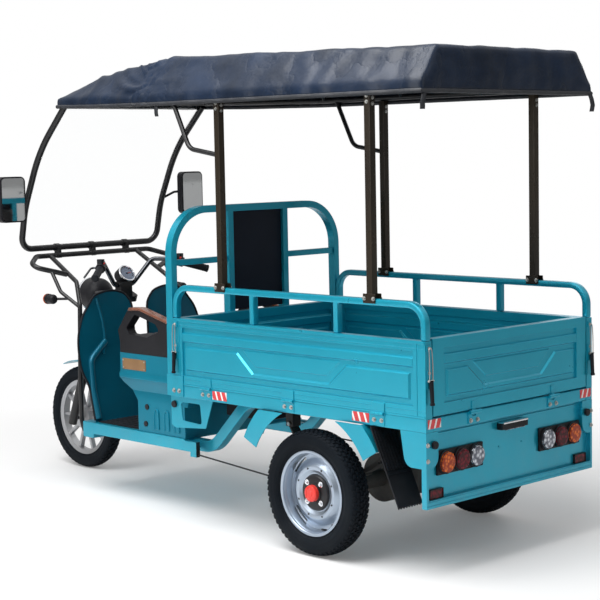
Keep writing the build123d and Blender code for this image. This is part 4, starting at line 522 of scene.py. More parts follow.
class Workpiece:
    """Mesh of one piece while it is modelled, in metres in the part's frame."""

    def __init__(self, *finishes: Finish) -> None:
        """Start empty, with the finishes that its faces may take."""
        self.bm = bmesh.new()
        self.finishes = finishes

    def join(self, made: BMesh, finish: int) -> None:
        """Add a finished bmesh to the piece.

        Args:
            made: the bmesh, which is freed.
            finish: index of the finish its faces take.
        """
        for face in made.faces:
            face.material_index = finish
        mesh = meshed("joined", made)
        self.bm.from_mesh(mesh)
        bpy.data.meshes.remove(mesh)

    @staticmethod
    def round_edges(made: BMesh, width: float, segments: int, angle: float = 30.0) -> None:
        """Round the sharp edges of a bmesh.

        Args:
            made: the bmesh.
            width: offset of the bevel in metres.
            segments: steps of the rounding.
            angle: edges that turn by more than this, in degrees, are rounded.
        """
        limit = math.radians(angle)
        shared = [edge for edge in made.edges if len(edge.link_faces) == 2]
        edges = [edge for edge in shared if edge.calc_face_angle(0.0) > limit]
        bmesh.ops.bevel(made, geom=edges, offset=width, offset_type="OFFSET", segments=segments, profile=0.5,
                        affect="EDGES", clamp_overlap=True, material=-1)

    def box(self, low: Point, high: Point, rounding: float = 2.0, finish: int = 0) -> None:
        """Add a box with rounded edges.

        Args:
            low: lowest corner in millimetres.
            high: highest corner in millimetres.
            rounding: edge radius in millimetres, or 0.
            finish: index of its finish.
        """
        first, last = spot(*low), spot(*high)
        made = bmesh.new()
        scale = Matrix.Diagonal((*(last - first), 1))
        bmesh.ops.create_cube(made, size=1.0, matrix=Matrix.Translation((first + last) / 2) @ scale)
        if rounding:
            self.round_edges(made, rounding * MM, 2)
        self.join(made, finish)

    def rod(self, start: Vector, end: Vector, radius: float, finish: int = 0, sides: int = 20,
            rounding: float = 0.0, far_radius: float | None = None) -> None:
        """Add a round bar.

        Args:
            start: middle of its first end, in metres.
            end: middle of its other end.
            radius: its radius in millimetres.
            finish: index of its finish.
            sides: steps round it.
            rounding: edge radius in millimetres, or 0.
            far_radius: radius of its other end, where it tapers.
        """
        run = end - start
        turn = run.to_track_quat("Z", "Y").to_matrix().to_4x4()
        made = bmesh.new()
        far = radius if far_radius is None else far_radius
        bmesh.ops.create_cone(made, cap_ends=True, segments=sides, radius1=radius * MM, radius2=far * MM,
                              depth=run.length, matrix=Matrix.Translation((start + end) / 2) @ turn)
        if rounding:
            self.round_edges(made, rounding * MM, 2, 50.0)
        self.join(made, finish)

    def turned(self, profile: Profile, centre: Vector, axis: Point | Vector, finish: int = 0, steps: int = 72,
               closed: bool = True, gaps: list[tuple] | None = None) -> None:
        """Add a turned shape.

        Args:
            profile: (radius, place along the axis) points in millimetres.
            centre: point on the axis, in metres.
            axis: direction of the axis.
            finish: index of its finish.
            steps: steps round it.
            closed: whether the profile is a closed loop.
            gaps: faces left out, as (inner radius, outer radius, first degree, last degree).
        """
        along = Vector(axis).normalized()
        out = UP if abs(along.z) < 0.9 else -BACK
        out = (out - along * out.dot(along)).normalized()
        made = bmesh.new()
        verts = [made.verts.new(centre + (out * radius + along * place) * MM) for radius, place in profile]
        pairs = list(zip(verts, verts[1:])) + ([(verts[-1], verts[0])] if closed else [])
        edges = [made.edges.new(pair) for pair in pairs]
        bmesh.ops.spin(made, geom=verts + edges, cent=centre, axis=along, angle=math.tau, steps=steps,
                       use_merge=True)
        bmesh.ops.remove_doubles(made, verts=made.verts, dist=WELD)
        bmesh.ops.recalc_face_normals(made, faces=made.faces)
        side = along.cross(out)
        doomed = []
        for low, high, first, last in gaps or []:
            for face in made.faces:
                reach = face.calc_center_median() - centre
                radius = (reach - along * reach.dot(along)).length / MM
                angle = math.degrees(math.atan2(reach.dot(side), reach.dot(out))) % 360
                if low < radius < high and first < angle < last:
                    doomed.append(face)
        bmesh.ops.delete(made, geom=list(set(doomed)), context="FACES")
        self.join(made, finish)

    def plate(self, points: list[Vector], depth: Vector, rounding: float = 0.0, finish: int = 0) -> None:
        """Add a flat plate from its outline.

        Args:
            points: the outline in metres.
            depth: thickness as a vector in metres.
            rounding: edge radius in millimetres, or 0.
            finish: index of its finish.
        """
        made = bmesh.new()
        face = made.faces.new([made.verts.new(point) for point in points])
        grown = bmesh.ops.extrude_face_region(made, geom=[face])
        moved = [item for item in grown["geom"] if isinstance(item, bmesh.types.BMVert)]
        bmesh.ops.translate(made, verts=moved, vec=depth)
        bmesh.ops.recalc_face_normals(made, faces=made.faces)
        if rounding:
            self.round_edges(made, rounding * MM, 2)
        self.join(made, finish)

    def pipe(self, points: list[Vector], radius: float, finish: int = 0, closed: bool = False,
             smooth: bool = True) -> None:
        """Add a round bar along a bent route.

        Args:
            points: the route in metres.
            radius: its radius in millimetres.
            finish: index of its finish.
            closed: whether the route is a loop.
            smooth: whether the route bends smoothly between its points.
        """
        curve = bpy.data.curves.new("route", "CURVE")
        curve.dimensions = "3D"
        curve.bevel_depth = radius * MM
        curve.bevel_resolution = 3
        curve.resolution_u = 6
        curve.use_fill_caps = True
        line = curve.splines.new("NURBS" if smooth else "POLY")
        line.points.add(len(points) - 1)
        for place, point in zip(line.points, points):
            place.co = (*point, 1.0)
        line.use_cyclic_u = closed
        if smooth:
            line.order_u = 3
            line.use_endpoint_u = not closed
        holder = bpy.data.objects.new("route", curve)
        bpy.context.scene.collection.objects.link(holder)
        shown = holder.evaluated_get(bpy.context.evaluated_depsgraph_get())
        mesh = bpy.data.meshes.new_from_object(shown)
        bpy.data.objects.remove(holder)
        made = bmesh.new()
        made.from_mesh(mesh)
        bpy.data.meshes.remove(mesh)
        bmesh.ops.remove_doubles(made, verts=made.verts, dist=WELD)
        bmesh.ops.recalc_face_normals(made, faces=made.faces)
        self.join(made, finish)

    def bolt(self, place: Vector, out: Vector, across: float, finish: int = 0) -> None:
        """Add a hexagon bolt head with its washer.

        Args:
            place: point on the surface, in metres.
            out: direction away from the surface.
            across: width over the flats in millimetres.
            finish: index of its finish.
        """
        step = out.normalized() * (across * MM)
        washer_depth, washer_radius = 0.16, 0.82
        head_depth, head_radius, head_rounding = 0.62, 0.56, 0.06
        self.rod(place, place + step * washer_depth, washer_radius * across, finish, 16)
        self.rod(place, place + step * head_depth, head_radius * across, finish, 6, head_rounding * across)

    def cad(self, node: str, rounding: float, segments: int = 2) -> None:
        """Add a merged copy of a CAD node with rounded edges, in the first finish.

        Args:
            node: the node's name.
            rounding: edge radius in millimetres.
            segments: steps of the rounding.
        """
        made = bmesh.new()
        made.from_mesh(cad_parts[node].data)
        bmesh.ops.remove_doubles(made, verts=made.verts, dist=CAD_WELD)
        flat = math.radians(FLAT_TURN)
        bmesh.ops.dissolve_limit(made, angle_limit=flat, verts=made.verts, edges=made.edges)
        self.round_edges(made, rounding * MM, segments)
        bmesh.ops.triangulate(made, faces=[face for face in made.faces if len(face.verts) > 4])
        self.join(made, 0)

    def piece(self, name: str, body: Body, slot: str, stands_for: tuple[str, ...] = (),
              smooth: float = 32.0) -> Object:
        """Finish the piece as an object.

        Args:
            name: the piece's name.
            body: the body it rides on.
            slot: the record's material slot.
            stands_for: CAD nodes that it replaces.
            smooth: edges that turn by more than this, in degrees, stay sharp.

        Returns:
            The object.
        """
        mesh = meshed(name, self.bm)
        stale = mesh.attributes.get("custom_normal")
        if stale:
            mesh.attributes.remove(stale)
        mesh.shade_smooth()
        mesh.set_sharp_from_angle(angle=math.radians(smooth))
        for finish in self.finishes:
            mesh.materials.append(finish.material())
        made = placed(name, mesh)
        flat = made.modifiers.new("flat_faces", "WEIGHTED_NORMAL")
        flat.keep_sharp = True
        declare(made, body, slot, *stands_for)
        LOG.info("piece %s on %s: %d faces", name, body.value, len(mesh.polygons))
        return made


def dress(node: str, finish: Finish) -> None:
    """Give a CAD node that stays a finish.

    Args:
        node: the node's name.
        finish: the finish.
    """
    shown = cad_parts[node]
    shown.data.materials.clear()
    shown.data.materials.append(finish.material())
    LOG.info("node %s keeps its shape in %s", node, finish.name)


def rounded(node: str, body: Body, slot: str, finish: Finish, rounding: float, segments: int = 2) -> None:
    """Replace a CAD node by a copy with rounded edges.

    Args:
        node: the node's name.
        body: the body it rides on.
        slot: the record's material slot.
        finish: the finish.
        rounding: edge radius in millimetres.
        segments: steps of the rounding.
    """
    work = Workpiece(finish)
    work.cad(node, rounding, segments)
    work.piece(f"{node}_shell", body, slot, (node,))


@dataclass
class Studio:
    """Camera, lamps, floor and surrounding white."""

    lens: float = 95.33
    sensor: float = 36.0
    eye: Point = (-5.245, 4.8029, 1.5817)
    forward: Point = (0.71276, -0.69516, -0.09340)
    roll: float = -1.11
    aim: Point = (0.0, 0.0, 0.8)
    floor_half: float = 60.0
    floor_grey: float = 0.90
    white_from: float = 1.2
    white_to: float = 3.2
    near_white: float = 0.12
    sky_low: float = 0.24
    sky_rise: float = 0.16
    sky_shine: float = 0.8

    def build(self) -> None:
        """Make the stage."""
        bpy.context.scene.view_settings.view_transform = "Standard"
        self.camera()
        self.lamps()
        self.floor()
        self.surround()

    def camera(self) -> None:
        """Place the camera as the photograph was taken."""
        data = bpy.data.cameras.new("camera")
        data.lens = self.lens
        data.sensor_width = self.sensor
        ahead = Vector(self.forward).normalized()
        right = ahead.cross(UP).normalized()
        up = right.cross(ahead)
        cosine, sine = math.cos(math.radians(self.roll)), math.sin(math.radians(self.roll))
        right, up = right * cosine + up * sine, up * cosine - right * sine
        place = Matrix((right, up, -ahead)).transposed().to_4x4()
        place.translation = Vector(self.eye)
        camera = bpy.data.objects.new("camera", data)
        camera.matrix_world = place
        bpy.context.scene.collection.objects.link(camera)
        bpy.context.scene.camera = camera

    def lamp(self, name: str, place: Point, size: float, power: float) -> None:
        """Add one soft lamp aimed at the tricycle.

        Args:
            name: the lamp's name.
            place: where it hangs, in metres.
            size: side of its square, in metres.
            power: its power in watts.
        """
        data = bpy.data.lights.new(name, "AREA")
        data.size = size
        data.energy = power
        lamp = bpy.data.objects.new(name, data)
        lamp.location = place
        lamp.rotation_euler = (Vector(self.aim) - Vector(place)).to_track_quat("-Z", "Y").to_euler()
        bpy.context.scene.collection.objects.link(lamp)

    def lamps(self) -> None:
        """Hang the soft lamps."""
        self.lamp("overhead", (-0.4, 1.7, 4.5), 3.6, 275.0)
        self.lamp("left_bank", (1.0, 5.2, 2.6), 2.8, 70.0)
        self.lamp("rear_bank", (-6.0, -0.5, 3.4), 1.4, 12.0)
        self.lamp("right_bank", (1.5, -6.0, 3.0), 2.5, 40.0)

    def white_rays(self, tree: Tree) -> Socket:
        """One for rays that should see the white background.

        Args:
            tree: the tree that takes the nodes.

        Returns:
            The mask.
        """
        path = tree.nodes.new("ShaderNodeLightPath")
        seen, through = path.outputs["Is Camera Ray"], path.outputs["Is Transmission Ray"]
        return NodeGroups.math(tree, "MAXIMUM", seen, through)

    def floor(self) -> None:
        """Lay the pale floor, which is plain white away from the tricycle."""
        made = bmesh.new()
        bmesh.ops.create_grid(made, x_segments=4, y_segments=4, size=self.floor_half)
        mesh = meshed("floor", made)
        floor = placed("floor", mesh)
        material = bpy.data.materials.new("pale_floor")
        material.use_nodes = True
        tree = material.node_tree
        shader = tree.nodes["Principled BSDF"]
        shader.inputs["Base Color"].default_value = (self.floor_grey, self.floor_grey, self.floor_grey, 1)
        shader.inputs["Roughness"].default_value = 0.7
        glow = tree.nodes.new("ShaderNodeEmission")
        glow.inputs["Strength"].default_value = 1.0
        place = tree.nodes.new("ShaderNodeTexCoord").outputs["Object"]
        reach = tree.nodes.new("ShaderNodeVectorMath")
        reach.operation = "LENGTH"
        tree.links.new(place, reach.inputs[0])
        far = NodeGroups.ramp(tree, reach.outputs["Value"], self.white_from, self.white_to)
        far = NodeGroups.math(tree, "MAXIMUM", far, self.near_white)
        share = NodeGroups.math(tree, "MULTIPLY", far, self.white_rays(tree))
        both = tree.nodes.new("ShaderNodeMixShader")
        tree.links.new(share, both.inputs[0])
        tree.links.new(shader.outputs[0], both.inputs[1])
        tree.links.new(glow.outputs[0], both.inputs[2])
        tree.links.new(both.outputs[0], tree.nodes["Material Output"].inputs["Surface"])
        mesh.materials.append(material)

    def surround(self) -> None:
        """Set the world: white to the eye, and as light and in reflections brighter above."""
        world = bpy.data.worlds.new("surround")
        bpy.context.scene.world = world
        world.use_nodes = True
        tree = world.node_tree
        back = tree.nodes["Background"]
        back.inputs["Color"].default_value = (1, 1, 1, 1)
        aim = tree.nodes.new("ShaderNodeSeparateXYZ")
        tree.links.new(tree.nodes.new("ShaderNodeTexCoord").outputs["Generated"], aim.inputs[0])
        above = NodeGroups.ramp(tree, aim.outputs["Z"], 0.15, 0.85)
        light = NodeGroups.math(tree, "MULTIPLY", above, self.sky_rise)
        light = NodeGroups.math(tree, "ADD", light, self.sky_low)
        glossy = tree.nodes.new("ShaderNodeLightPath").outputs["Is Glossy Ray"]
        shine = NodeGroups.math(tree, "MULTIPLY", above, self.sky_shine)
        shine = NodeGroups.math(tree, "MULTIPLY", shine, glossy)
        level = NodeGroups.math(tree, "ADD", light, shine)
        level = NodeGroups.math(tree, "MAXIMUM", level, self.white_rays(tree))
        tree.links.new(level, back.inputs["Strength"])


@dataclass
class LoadBed:
    """Boards, rails, floor and latches of the bed."""

    length: float = 1420.0
    half: float = 512.0
    rail_top: float = 603.0
    rail_y: float = 494.0
    floor_top: float = 607.0
    ribs: int = 9
    rib_pitch: float = 100.0
    rib_half: float = 22.0
    hinge_places: tuple[float, ...] = (234.0, 717.0, 1209.0)
    hinge_reach: float = 4.0
    corner_bolts: tuple[float, ...] = (1380.0, 1413.0)
    plug_x: float = 1436.0
    plug_level: float = 515.0
    latch_low: float = 654.0
    tape_places: tuple[float, ...] = (1127.0, 326.0)
    tape_half: float = 44.0
    tail_tape_y: float = 466.0
    tail_tape_half: float = 36.0

    def build(self) -> None:
        """Make and dress the bed."""
        for node in ("side_boards", "front_board"):
            rounded(node, Body.CHASSIS, "teal_paint", TEAL, 5.0, 3)
        for node, rounding in (("bed_side_rails", 4.0), ("bed_cross_rails", 4.0), ("side_rails", 6.0),
                               ("bed_brackets", 1.2)):
            rounded(node, Body.CHASSIS, "teal_paint", TEAL, rounding)
        self.floor()
        self.beads()
        self.hinges()
        self.latches()
        self.tapes()

    def floor(self) -> None:
        """Floor sheet with pressed ribs along the bed."""
        work = Workpiece(FLOOR_SHEET)
        work.cad("bed_floor", 1.0)
        for index in range(self.ribs):
            y = (index - (self.ribs - 1) / 2) * self.rib_pitch
            work.box((70, y - self.rib_half, self.floor_top - 2),
                     (self.length - 64, y + self.rib_half, self.floor_top + 4), 3.0)
        work.piece("bed_floor_sheet", Body.CHASSIS, "teal_paint", ("bed_floor",))

    def beads(self) -> None:
        """Folded lips along the top, foot and ends of the side boards."""
        work = Workpiece(TEAL)
        for side in SIDES:
            for low, high, rise in ((876, 888.6, 3.0), (859, 862, 1.6), (606, 612, 1.8), (628, 631, 1.6)):
                y = sorted((side * (self.half - 4), side * (self.half + rise)))
                work.box((4, y[0], low), (self.length - 40, y[1], high), 1.2)
            for x in (40, self.length - 44):
                y = sorted((side * (self.half - 4), side * (self.half + 1.6)))
                work.box((x, y[0], 608), (x + 3, y[1], 884), 1.2)
        work.piece("side_board_lips", Body.CHASSIS, "teal_paint")

    def hinges(self) -> None:
        """Knuckles and bolts of the side hinges, bolts of the corner plates and plugs of the brackets."""
        work = Workpiece(TEAL, ZINC, PLASTIC)
        for side in SIDES:
            out = LEFT * side
            face = side * (self.half + self.hinge_reach)
            for x in self.hinge_places:
                for shift in (-21, 0, 21):
                    work.rod(spot(x + shift - 10, face + side * 2, self.rail_top),
                             spot(x + shift + 10, face + side * 2, self.rail_top), 7.0, 0, 16, 0.8)
                for shift in (-19, 19):
                    work.bolt(spot(x + shift, face, self.rail_top - 25), out, 11.0, 1)
            for x in self.corner_bolts:
                work.bolt(spot(x, face, self.rail_top - 24), out, 12.0, 1)
            inside = spot(self.plug_x, side * self.rail_y, self.plug_level)
            work.rod(inside, inside + out * (11 * MM), 15.0, 2, 28, 3.0)
        work.piece("side_hinge_knuckles", Body.CHASSIS, "teal_paint")

    def latch(self, work: Workpiece, base: Vector, out: Vector, across: Vector) -> None:
        """One over-centre latch: keeper, wire loop, lever and sleeve.

        Args:
            work: the piece that takes it.
            base: foot of the latch on its board, in metres.
            out: direction away from the board.
            across: direction along the board's edge.
        """
        def at(sideways: float, reach: float, lift: float) -> Vector:
            """Point of the latch from millimetres across, out and up."""
            return base + (across * sideways + out * reach + UP * lift) * MM

        for low, high, half in ((60, 128, 13), (196, 220, 13)):
            outline = [at(-half, 0, low), at(half, 0, low), at(half, 0, high), at(-half, 0, high)]
            work.plate(outline, out * (3.5 * MM), 0.8, 0)
        wire = [(9, 12, 88), (9, 13, 130), (8, 11, 190), (7, 8, 210)]
        route = [at(-wide, reach, lift) for wide, reach, lift in wire]
        route += [at(*point) for point in reversed(wire)]
        work.pipe(route, 1.9, 1)
        work.rod(at(-14, 11, 90), at(14, 11, 90), 4.0, 1, 14, 0.6)
        work.rod(at(0, 12, 92), at(0, 17, 4), 8.5, 2, 18, 2.5, 7.0)
        work.rod(at(0, 16.5, 10), at(0, 17.5, 0), 9.0, 2, 18, 2.0)
        for lift in (118, 208):
            work.bolt(at(0, 3.5, lift), out, 8.0, 1)

    def latches(self) -> None:
        """The four corner latches."""
        work = Workpiece(TEAL, ZINC, SOFT_RUBBER)
        for side in SIDES:
            self.latch(work, spot(0, side * self.rail_y, self.latch_low), BACK, LEFT)
            self.latch(work, spot(self.length - 21, side * self.half, self.latch_low), LEFT * side, -BACK)
        work.piece("corner_latches", Body.CHASSIS, "teal_paint", ("latches",))

    def tapes(self) -> None:
        """Striped tapes on the side rails and the tail rail."""
        work = Workpiece(TAPE)
        for side in SIDES:
            low, high = sorted((side * self.half, side * (self.half + 1.2)))
            for x in self.tape_places:
                work.box((x - self.tape_half, low, 562), (x + self.tape_half, high, 598), 0.4)
            y = side * self.tail_tape_y
            work.box((-1.4, y - self.tail_tape_half, 566), (0.2, y + self.tail_tape_half, 600), 0.4)
        work.piece("striped_tapes", Body.CHASSIS, "red_lens")


@dataclass
class Tail:
    """Tailgate, tail panel, lamps and their fittings."""

    lamp_places: tuple[float, ...] = (393.0, 307.0, 221.0)
    lamp_level: float = 430.0
    reflector_y: float = 445.0
    reflector_half: float = 38.0
    reflector_low: float = 300.4
    reflector_top: float = 337.0
    hinge_y: float = 244.0
    corner_y: float = 504.0
    corner_levels: tuple[float, ...] = (507.0, 448.0)

    def build(self) -> None:
        """Make and dress the tail."""
        rounded("tailgate", Body.TAILGATE, "teal_paint", TEAL, 5.0, 3)
        for node, rounding in (("tailgate_hinges", 1.2), ("tail_panel", 2.5)):
            rounded(node, Body.CHASSIS, "teal_paint", TEAL, rounding)
        rounded("tail_fittings", Body.CHASSIS, "black_plastic", PLASTIC, 3.0)
        for colour, finish in (("amber", AMBER), ("red", RED), ("clear", CLEAR)):
            dress(f"tail_lamps_{colour}", finish)
        self.bezels()
        self.fasteners()

    def bezels(self) -> None:
        """Rings round the lenses, frames of the reflectors and the plate lamp's cover."""
        work = Workpiece(PLASTIC, CHROME, CLEAR)
        low, top = self.reflector_low, self.reflector_top
        for side in SIDES:
            for y in self.lamp_places:
                centre = spot(10, side * y, self.lamp_level)
                work.turned([(40.3, 0), (44.5, 0), (44.5, 7), (43, 9), (40.3, 9)], centre, BACK, 0, 48)
                work.turned([(36.0, 13.0), (37.5, 15.2), (39.6, 13.5), (39.0, 11.0)], centre, BACK, 0, 48)
            right = side * self.reflector_y - self.reflector_half
            left = right + 2 * self.reflector_half
            for y0, y1, z0, z1 in ((right, left, low, low + 1.8), (right, left, top - 3.2, top),
                                   (right, right + 2.8, low, top), (left - 2.8, left, low, top)):
                work.box((9, y0, z0), (20, y1, z1), 0.6)
        work.box((-12, -76, 528), (18, 76, 536), 3.0, 1)
        work.box((-9, -60, 503), (10, 60, 507), 1.5, 2)
        work.piece("lamp_surrounds", Body.CHASSIS, "black_plastic")

    def fasteners(self) -> None:
        """Bolts of the hinges and corner plates, and lines pressed in the panel."""
        work = Workpiece(ZINC, TEAL)
        for side in SIDES:
            for shift in (-20, 20):
                work.bolt(spot(-4, side * self.hinge_y + shift, 568), BACK, 11.0)
            for z in self.corner_levels:
                work.bolt(spot(0, side * self.corner_y, z), BACK, 11.0)
        for z in (277, 292):
            work.box((-2.2, -505, z), (0.4, 505, z + 4), 1.0, 1)
        work.box((15, -430, 538), (20.5, 430, 543), 1.6, 1)
        work.piece("tail_fasteners", Body.CHASSIS, "bright_steel")


@dataclass
class Tyre:
    """Sizes of one tyre and its tread."""

    name: str
    body: Body
    node: str
    centre: Point
    radius: float
    bead: float
    half: float
    inset: float
    rows: tuple[float, ...]
    blocks: int
    block: tuple[float, float]
    block_depth: float = 9.0
    block_rounding: float = 1.1
    slant: float = 22.0
    lean: float = 34.0
    crown_drop: float = 12.8
    usual_radius: float = 250.0

    def profile(self) -> Profile:
        """Half of the carcass section from the bead out to the tread's middle."""
        lip, half = self.half - self.inset, self.half
        wall = self.bead + 7.3
        depth = self.radius - wall
        steps = [(self.bead + 0.2, 0.0), (self.bead + 0.2, lip), (wall, lip)]
        for share, out in ((0.10, 0.30), (0.14, 0.62), (0.17, 0.60), (0.20, 0.76), (0.34, 0.97), (0.37, 1.0),
                           (0.40, 0.97), (0.58, 0.99), (0.61, 1.0), (0.64, 0.97), (0.76, 0.84), (0.83, 0.60)):
            steps.append((wall + depth * share, lip + (half - lip) * out))
        steps += [(self.radius - 8.5, lip), (self.radius - 6.5, 0.55 * lip), (self.radius - 6.0, 0.0)]
        return steps

    def build(self) -> None:
        """Make the carcass and the tread blocks."""
        work = Workpiece(RUBBER)
        side = self.profile()
        ring = side + [(radius, -y) for radius, y in reversed(side[1:-1])]
        centre = spot(*self.centre)
        work.turned(ring, centre, LEFT, 0, 96)
        for index, row in enumerate(self.rows):
            self.tread(work, centre, row, index)
        work.piece(self.name, self.body, "tyre_rubber", (self.node,), 40.0)

    def tread(self, work: Workpiece, centre: Vector, row: float, index: int) -> None:
        """One row of slanted tread blocks.

        Args:
            work: the piece that takes them.
            centre: middle of the wheel, in metres.
            row: the row's place across the tread, in millimetres.
            index: the row's number, which turns its slant and start.
        """
        wide, long = self.block
        made = bmesh.new()
        drop = self.crown_drop * (abs(row) / self.half) ** 2 * (self.radius / self.usual_radius)
        middle = self.radius - drop - self.block_depth / 2
        scale = Matrix.Diagonal((long * MM, wide * MM, self.block_depth * MM, 1))
        bmesh.ops.create_cube(made, size=1.0, matrix=scale)
        tilt = Matrix.Rotation(math.radians(self.slant if index % 2 else -self.slant), 4, "Z")
        lean = Matrix.Rotation(-math.radians(self.lean) * row / self.half, 4, "X")
        start = Matrix.Rotation(math.pi / self.blocks * (index % 2), 4, "Y")
        place = Matrix.Translation((0, row * MM, middle * MM))
        turn = Matrix.Translation(centre) @ start @ place @ lean @ tilt
        bmesh.ops.transform(made, matrix=turn, verts=made.verts)
        work.round_edges(made, self.block_rounding * MM, 1)
        every = list(made.verts) + list(made.edges) + list(made.faces)
        share = (self.blocks - 1) / self.blocks
        bmesh.ops.spin(made, geom=every, cent=centre, axis=LEFT, angle=math.tau * share,
                       steps=self.blocks - 1, use_duplicate=True)
        work.join(made, 0)


@dataclass
class RearRunningGear:
    """Rear tyres, rims, hubs, axle, springs, fenders and flaps."""

    axle_x: float = 590.0
    wheel_y: float = 487.5
    level: float = 250.0
    lever_rear: float = 1480.0
    spring_y: float = 340.0
    flap_top: Point = (264.0, 0.0, 553.0)
    flap_foot: Point = (124.0, 0.0, 252.0)
    flap_width: float = 134.0
    flap_inside: float = 392.0
    flap_teeth: int = 9
    flap_bars: int = 8

    def build(self) -> None:
        """Make and dress the rear running gear."""
        for side, body in ((1, Body.LEFT_WHEEL), (-1, Body.RIGHT_WHEEL)):
            name = "left" if side > 0 else "right"
            centre = (self.axle_x, side * self.wheel_y, self.level)
            Tyre(f"rear_{name}_tread", body, f"rear_tyre_{name}", centre, radius=250.0, bead=164.0, half=47.5,
                 inset=14.0, rows=(-37.0, -22.5, -7.5, 7.5, 22.5, 37.0), blocks=64,
                 block=(11.5, 17.0)).build()
            self.rim(side, body, name)
            self.hub(side, body, name)
        for node, rounding in (("rear_axle", 2.0), ("leaf_springs", 1.2)):
            rounded(node, Body.CHASSIS, "black_steel", UNDERBODY, rounding)
        rounded("rear_fenders", Body.CHASSIS, "teal_paint", TEAL, 1.4)
        self.linkage()
        self.clips()
        self.flaps()

    @staticmethod
    def ray(degrees: float) -> Vector:
        """Direction out from the wheel's axis, turned forward from the top."""
        angle = math.radians(degrees)
        return Vector((math.sin(angle), 0, math.cos(angle)))

    def rim(self, side: int, body: Body, name: str) -> None:
        """Pressed rim with stepped lip, dished disc and four windows.

        Args:
            side: 1 on the left and -1 on the right.
            body: the wheel's body.
            name: left or right.
        """
        work = Workpiece(RIM_SILVER, HUB_BLACK)
        centre = spot(self.axle_x, side * self.wheel_y, self.level)
        axis = LEFT * side
        gaps = [(137, 149, 28 + 90 * index, 62 + 90 * index) for index in range(4)]
        outer = [(33, 4), (76, 4), (80, 4.6), (88, 11), (92, 13), (104, 13), (108, 11.6), (120, 2), (126, -3),
                 (133, -7), (137, -8), (149, -8), (151, -7)]
        inner = [(radius, y - 5.5) for radius, y in reversed(outer)]
        work.turned(outer + inner, centre, axis, 0, 90, True, gaps)
        barrel = [(151.8, -33.4), (151.8, 14), (153.4, 18), (154.4, 24.5), (156.4, 27), (157.2, 35),
                  (159.5, 37.6), (166, 37.8), (169.2, 37.2), (170, 35.6), (169.6, 34), (163.6, 33.9),
                  (163.6, -33.4)]
        work.turned(barrel, centre, axis, 0, 90)
        for index in range(8):
            place = centre + self.ray(22.5 + 45 * index) * 0.098 + axis * (12.6 * MM)
            work.rod(place, place + axis * (1.4 * MM), 4.2, 1, 14)
        valve = self.ray(205)
        foot = centre + valve * 0.1535 + axis * (16 * MM)
        work.rod(foot, foot + axis * 0.024 - valve * 0.008, 4.0, 1, 12, 0.8)
        work.piece(f"rear_{name}_rim_pressing", body, "silver_rim", (f"rear_rim_{name}",))

    def hub(self, side: int, body: Body, name: str) -> None:
        """Hub plate, nuts, cap and the drum behind them.

        Args:
            side: 1 on the left and -1 on the right.
            body: the wheel's body.
            name: left or right.
        """
        work = Workpiece(HUB_BLACK, CHROME, CAP_RED, UNDERBODY)
        centre = spot(self.axle_x, side * self.wheel_y, self.level)
        axis = LEFT * side
        plate = [(0, 4), (72.6, 4), (73, 6), (70.5, 12), (67, 15), (60, 15.4), (56, 17.6), (40, 18),
                 (34, 18.4), (0, 18.4)]
        work.turned(plate, centre, axis, 0, 72, False)
        cap = [(0, 18), (33, 18), (33, 35), (31.6, 39), (28, 41.4), (22, 42), (21, 40.6), (12, 40.6),
               (11, 42), (0, 42)]
        work.turned(cap, centre, axis, 2, 48, False)
        work.turned([(33.2, 18), (38, 18), (37.4, 23), (35, 24.6), (33.2, 24.4)], centre, axis, 0, 48)
        for index in range(4):
            place = centre + self.ray(45 + 90 * index) * 0.053 + axis * (16.6 * MM)
            work.bolt(place, axis, 14.0, 1)
            work.rod(place, place + axis * (11.4 * MM), 4.4, 1, 12, 1.0)
        drum = [(0, -166), (14, -166), (14, -76.4), (88, -76.4), (95, -72), (95, -20), (91, -16), (73, -16),
                (73, -2.2), (0, -2.2)]
        work.turned(drum, centre, axis, 3, 72, False)
        for along in (-30, -44, -58):
            ring = [(94, along - 3), (98.5, along - 2), (98.5, along + 2), (94, along + 3)]
            work.turned(ring, centre, axis, 3, 72)
        work.piece(f"rear_{name}_hub_plate", body, "hub_black", (f"rear_hub_{name}",))

    def linkage(self) -> None:
        """Brake levers in body paint and their black rods."""
        work = Workpiece(TEAL, BLACK_STEEL)
        work.cad("brake_linkage", 1.0)
        behind = spot(self.lever_rear, 0, 0).x
        for face in work.bm.faces:
            face.material_index = 0 if face.calc_center_median().x > behind else 1
        work.piece("brake_linkage_shell", Body.CHASSIS, "bright_steel", ("brake_linkage",))

    def clips(self) -> None:
        """Clamps and bolts that hold the springs to the axle."""
        work = Workpiece(UNDERBODY, ZINC)
        for side in SIDES:
            y = side * self.spring_y
            work.box((self.axle_x - 46, y - 30, 281), (self.axle_x + 46, y + 30, 287), 2.0)
            for x in (self.axle_x - 30, self.axle_x + 30):
                for across in (-27, 27):
                    work.rod(spot(x, y + across, 206), spot(x, y + across, 322), 4.5, 1, 12)
            work.box((self.axle_x - 46, y - 32, 208), (self.axle_x + 46, y + 32, 214.8), 2.0)
            for shift in (-280, 280):
                x = self.axle_x + shift
                work.rod(spot(x, y - 30, 474), spot(x, y + 30, 474), 8.0, 1, 14, 1.0)
        work.piece("spring_clamps", Body.CHASSIS, "black_steel")

    def flaps(self) -> None:
        """Rubber flaps with bars above, a plain field below and a notched edge."""
        work = Workpiece(SOFT_RUBBER)
        top = Vector(self.flap_top)
        run = Vector(self.flap_foot) - top
        down = run.normalized()
        out = Vector((down.z, 0, -down.x))
        width = self.flap_width
        pitch = width / self.flap_teeth
        for side in SIDES:
            low_y = self.flap_inside if side > 0 else -self.flap_inside - width

            def at(along: float, across: float, reach: float) -> Vector:
                """Point of the flap from millimetres down, across and out."""
                place = top + down * along + out * reach
                return spot(place.x, low_y + across, place.z)

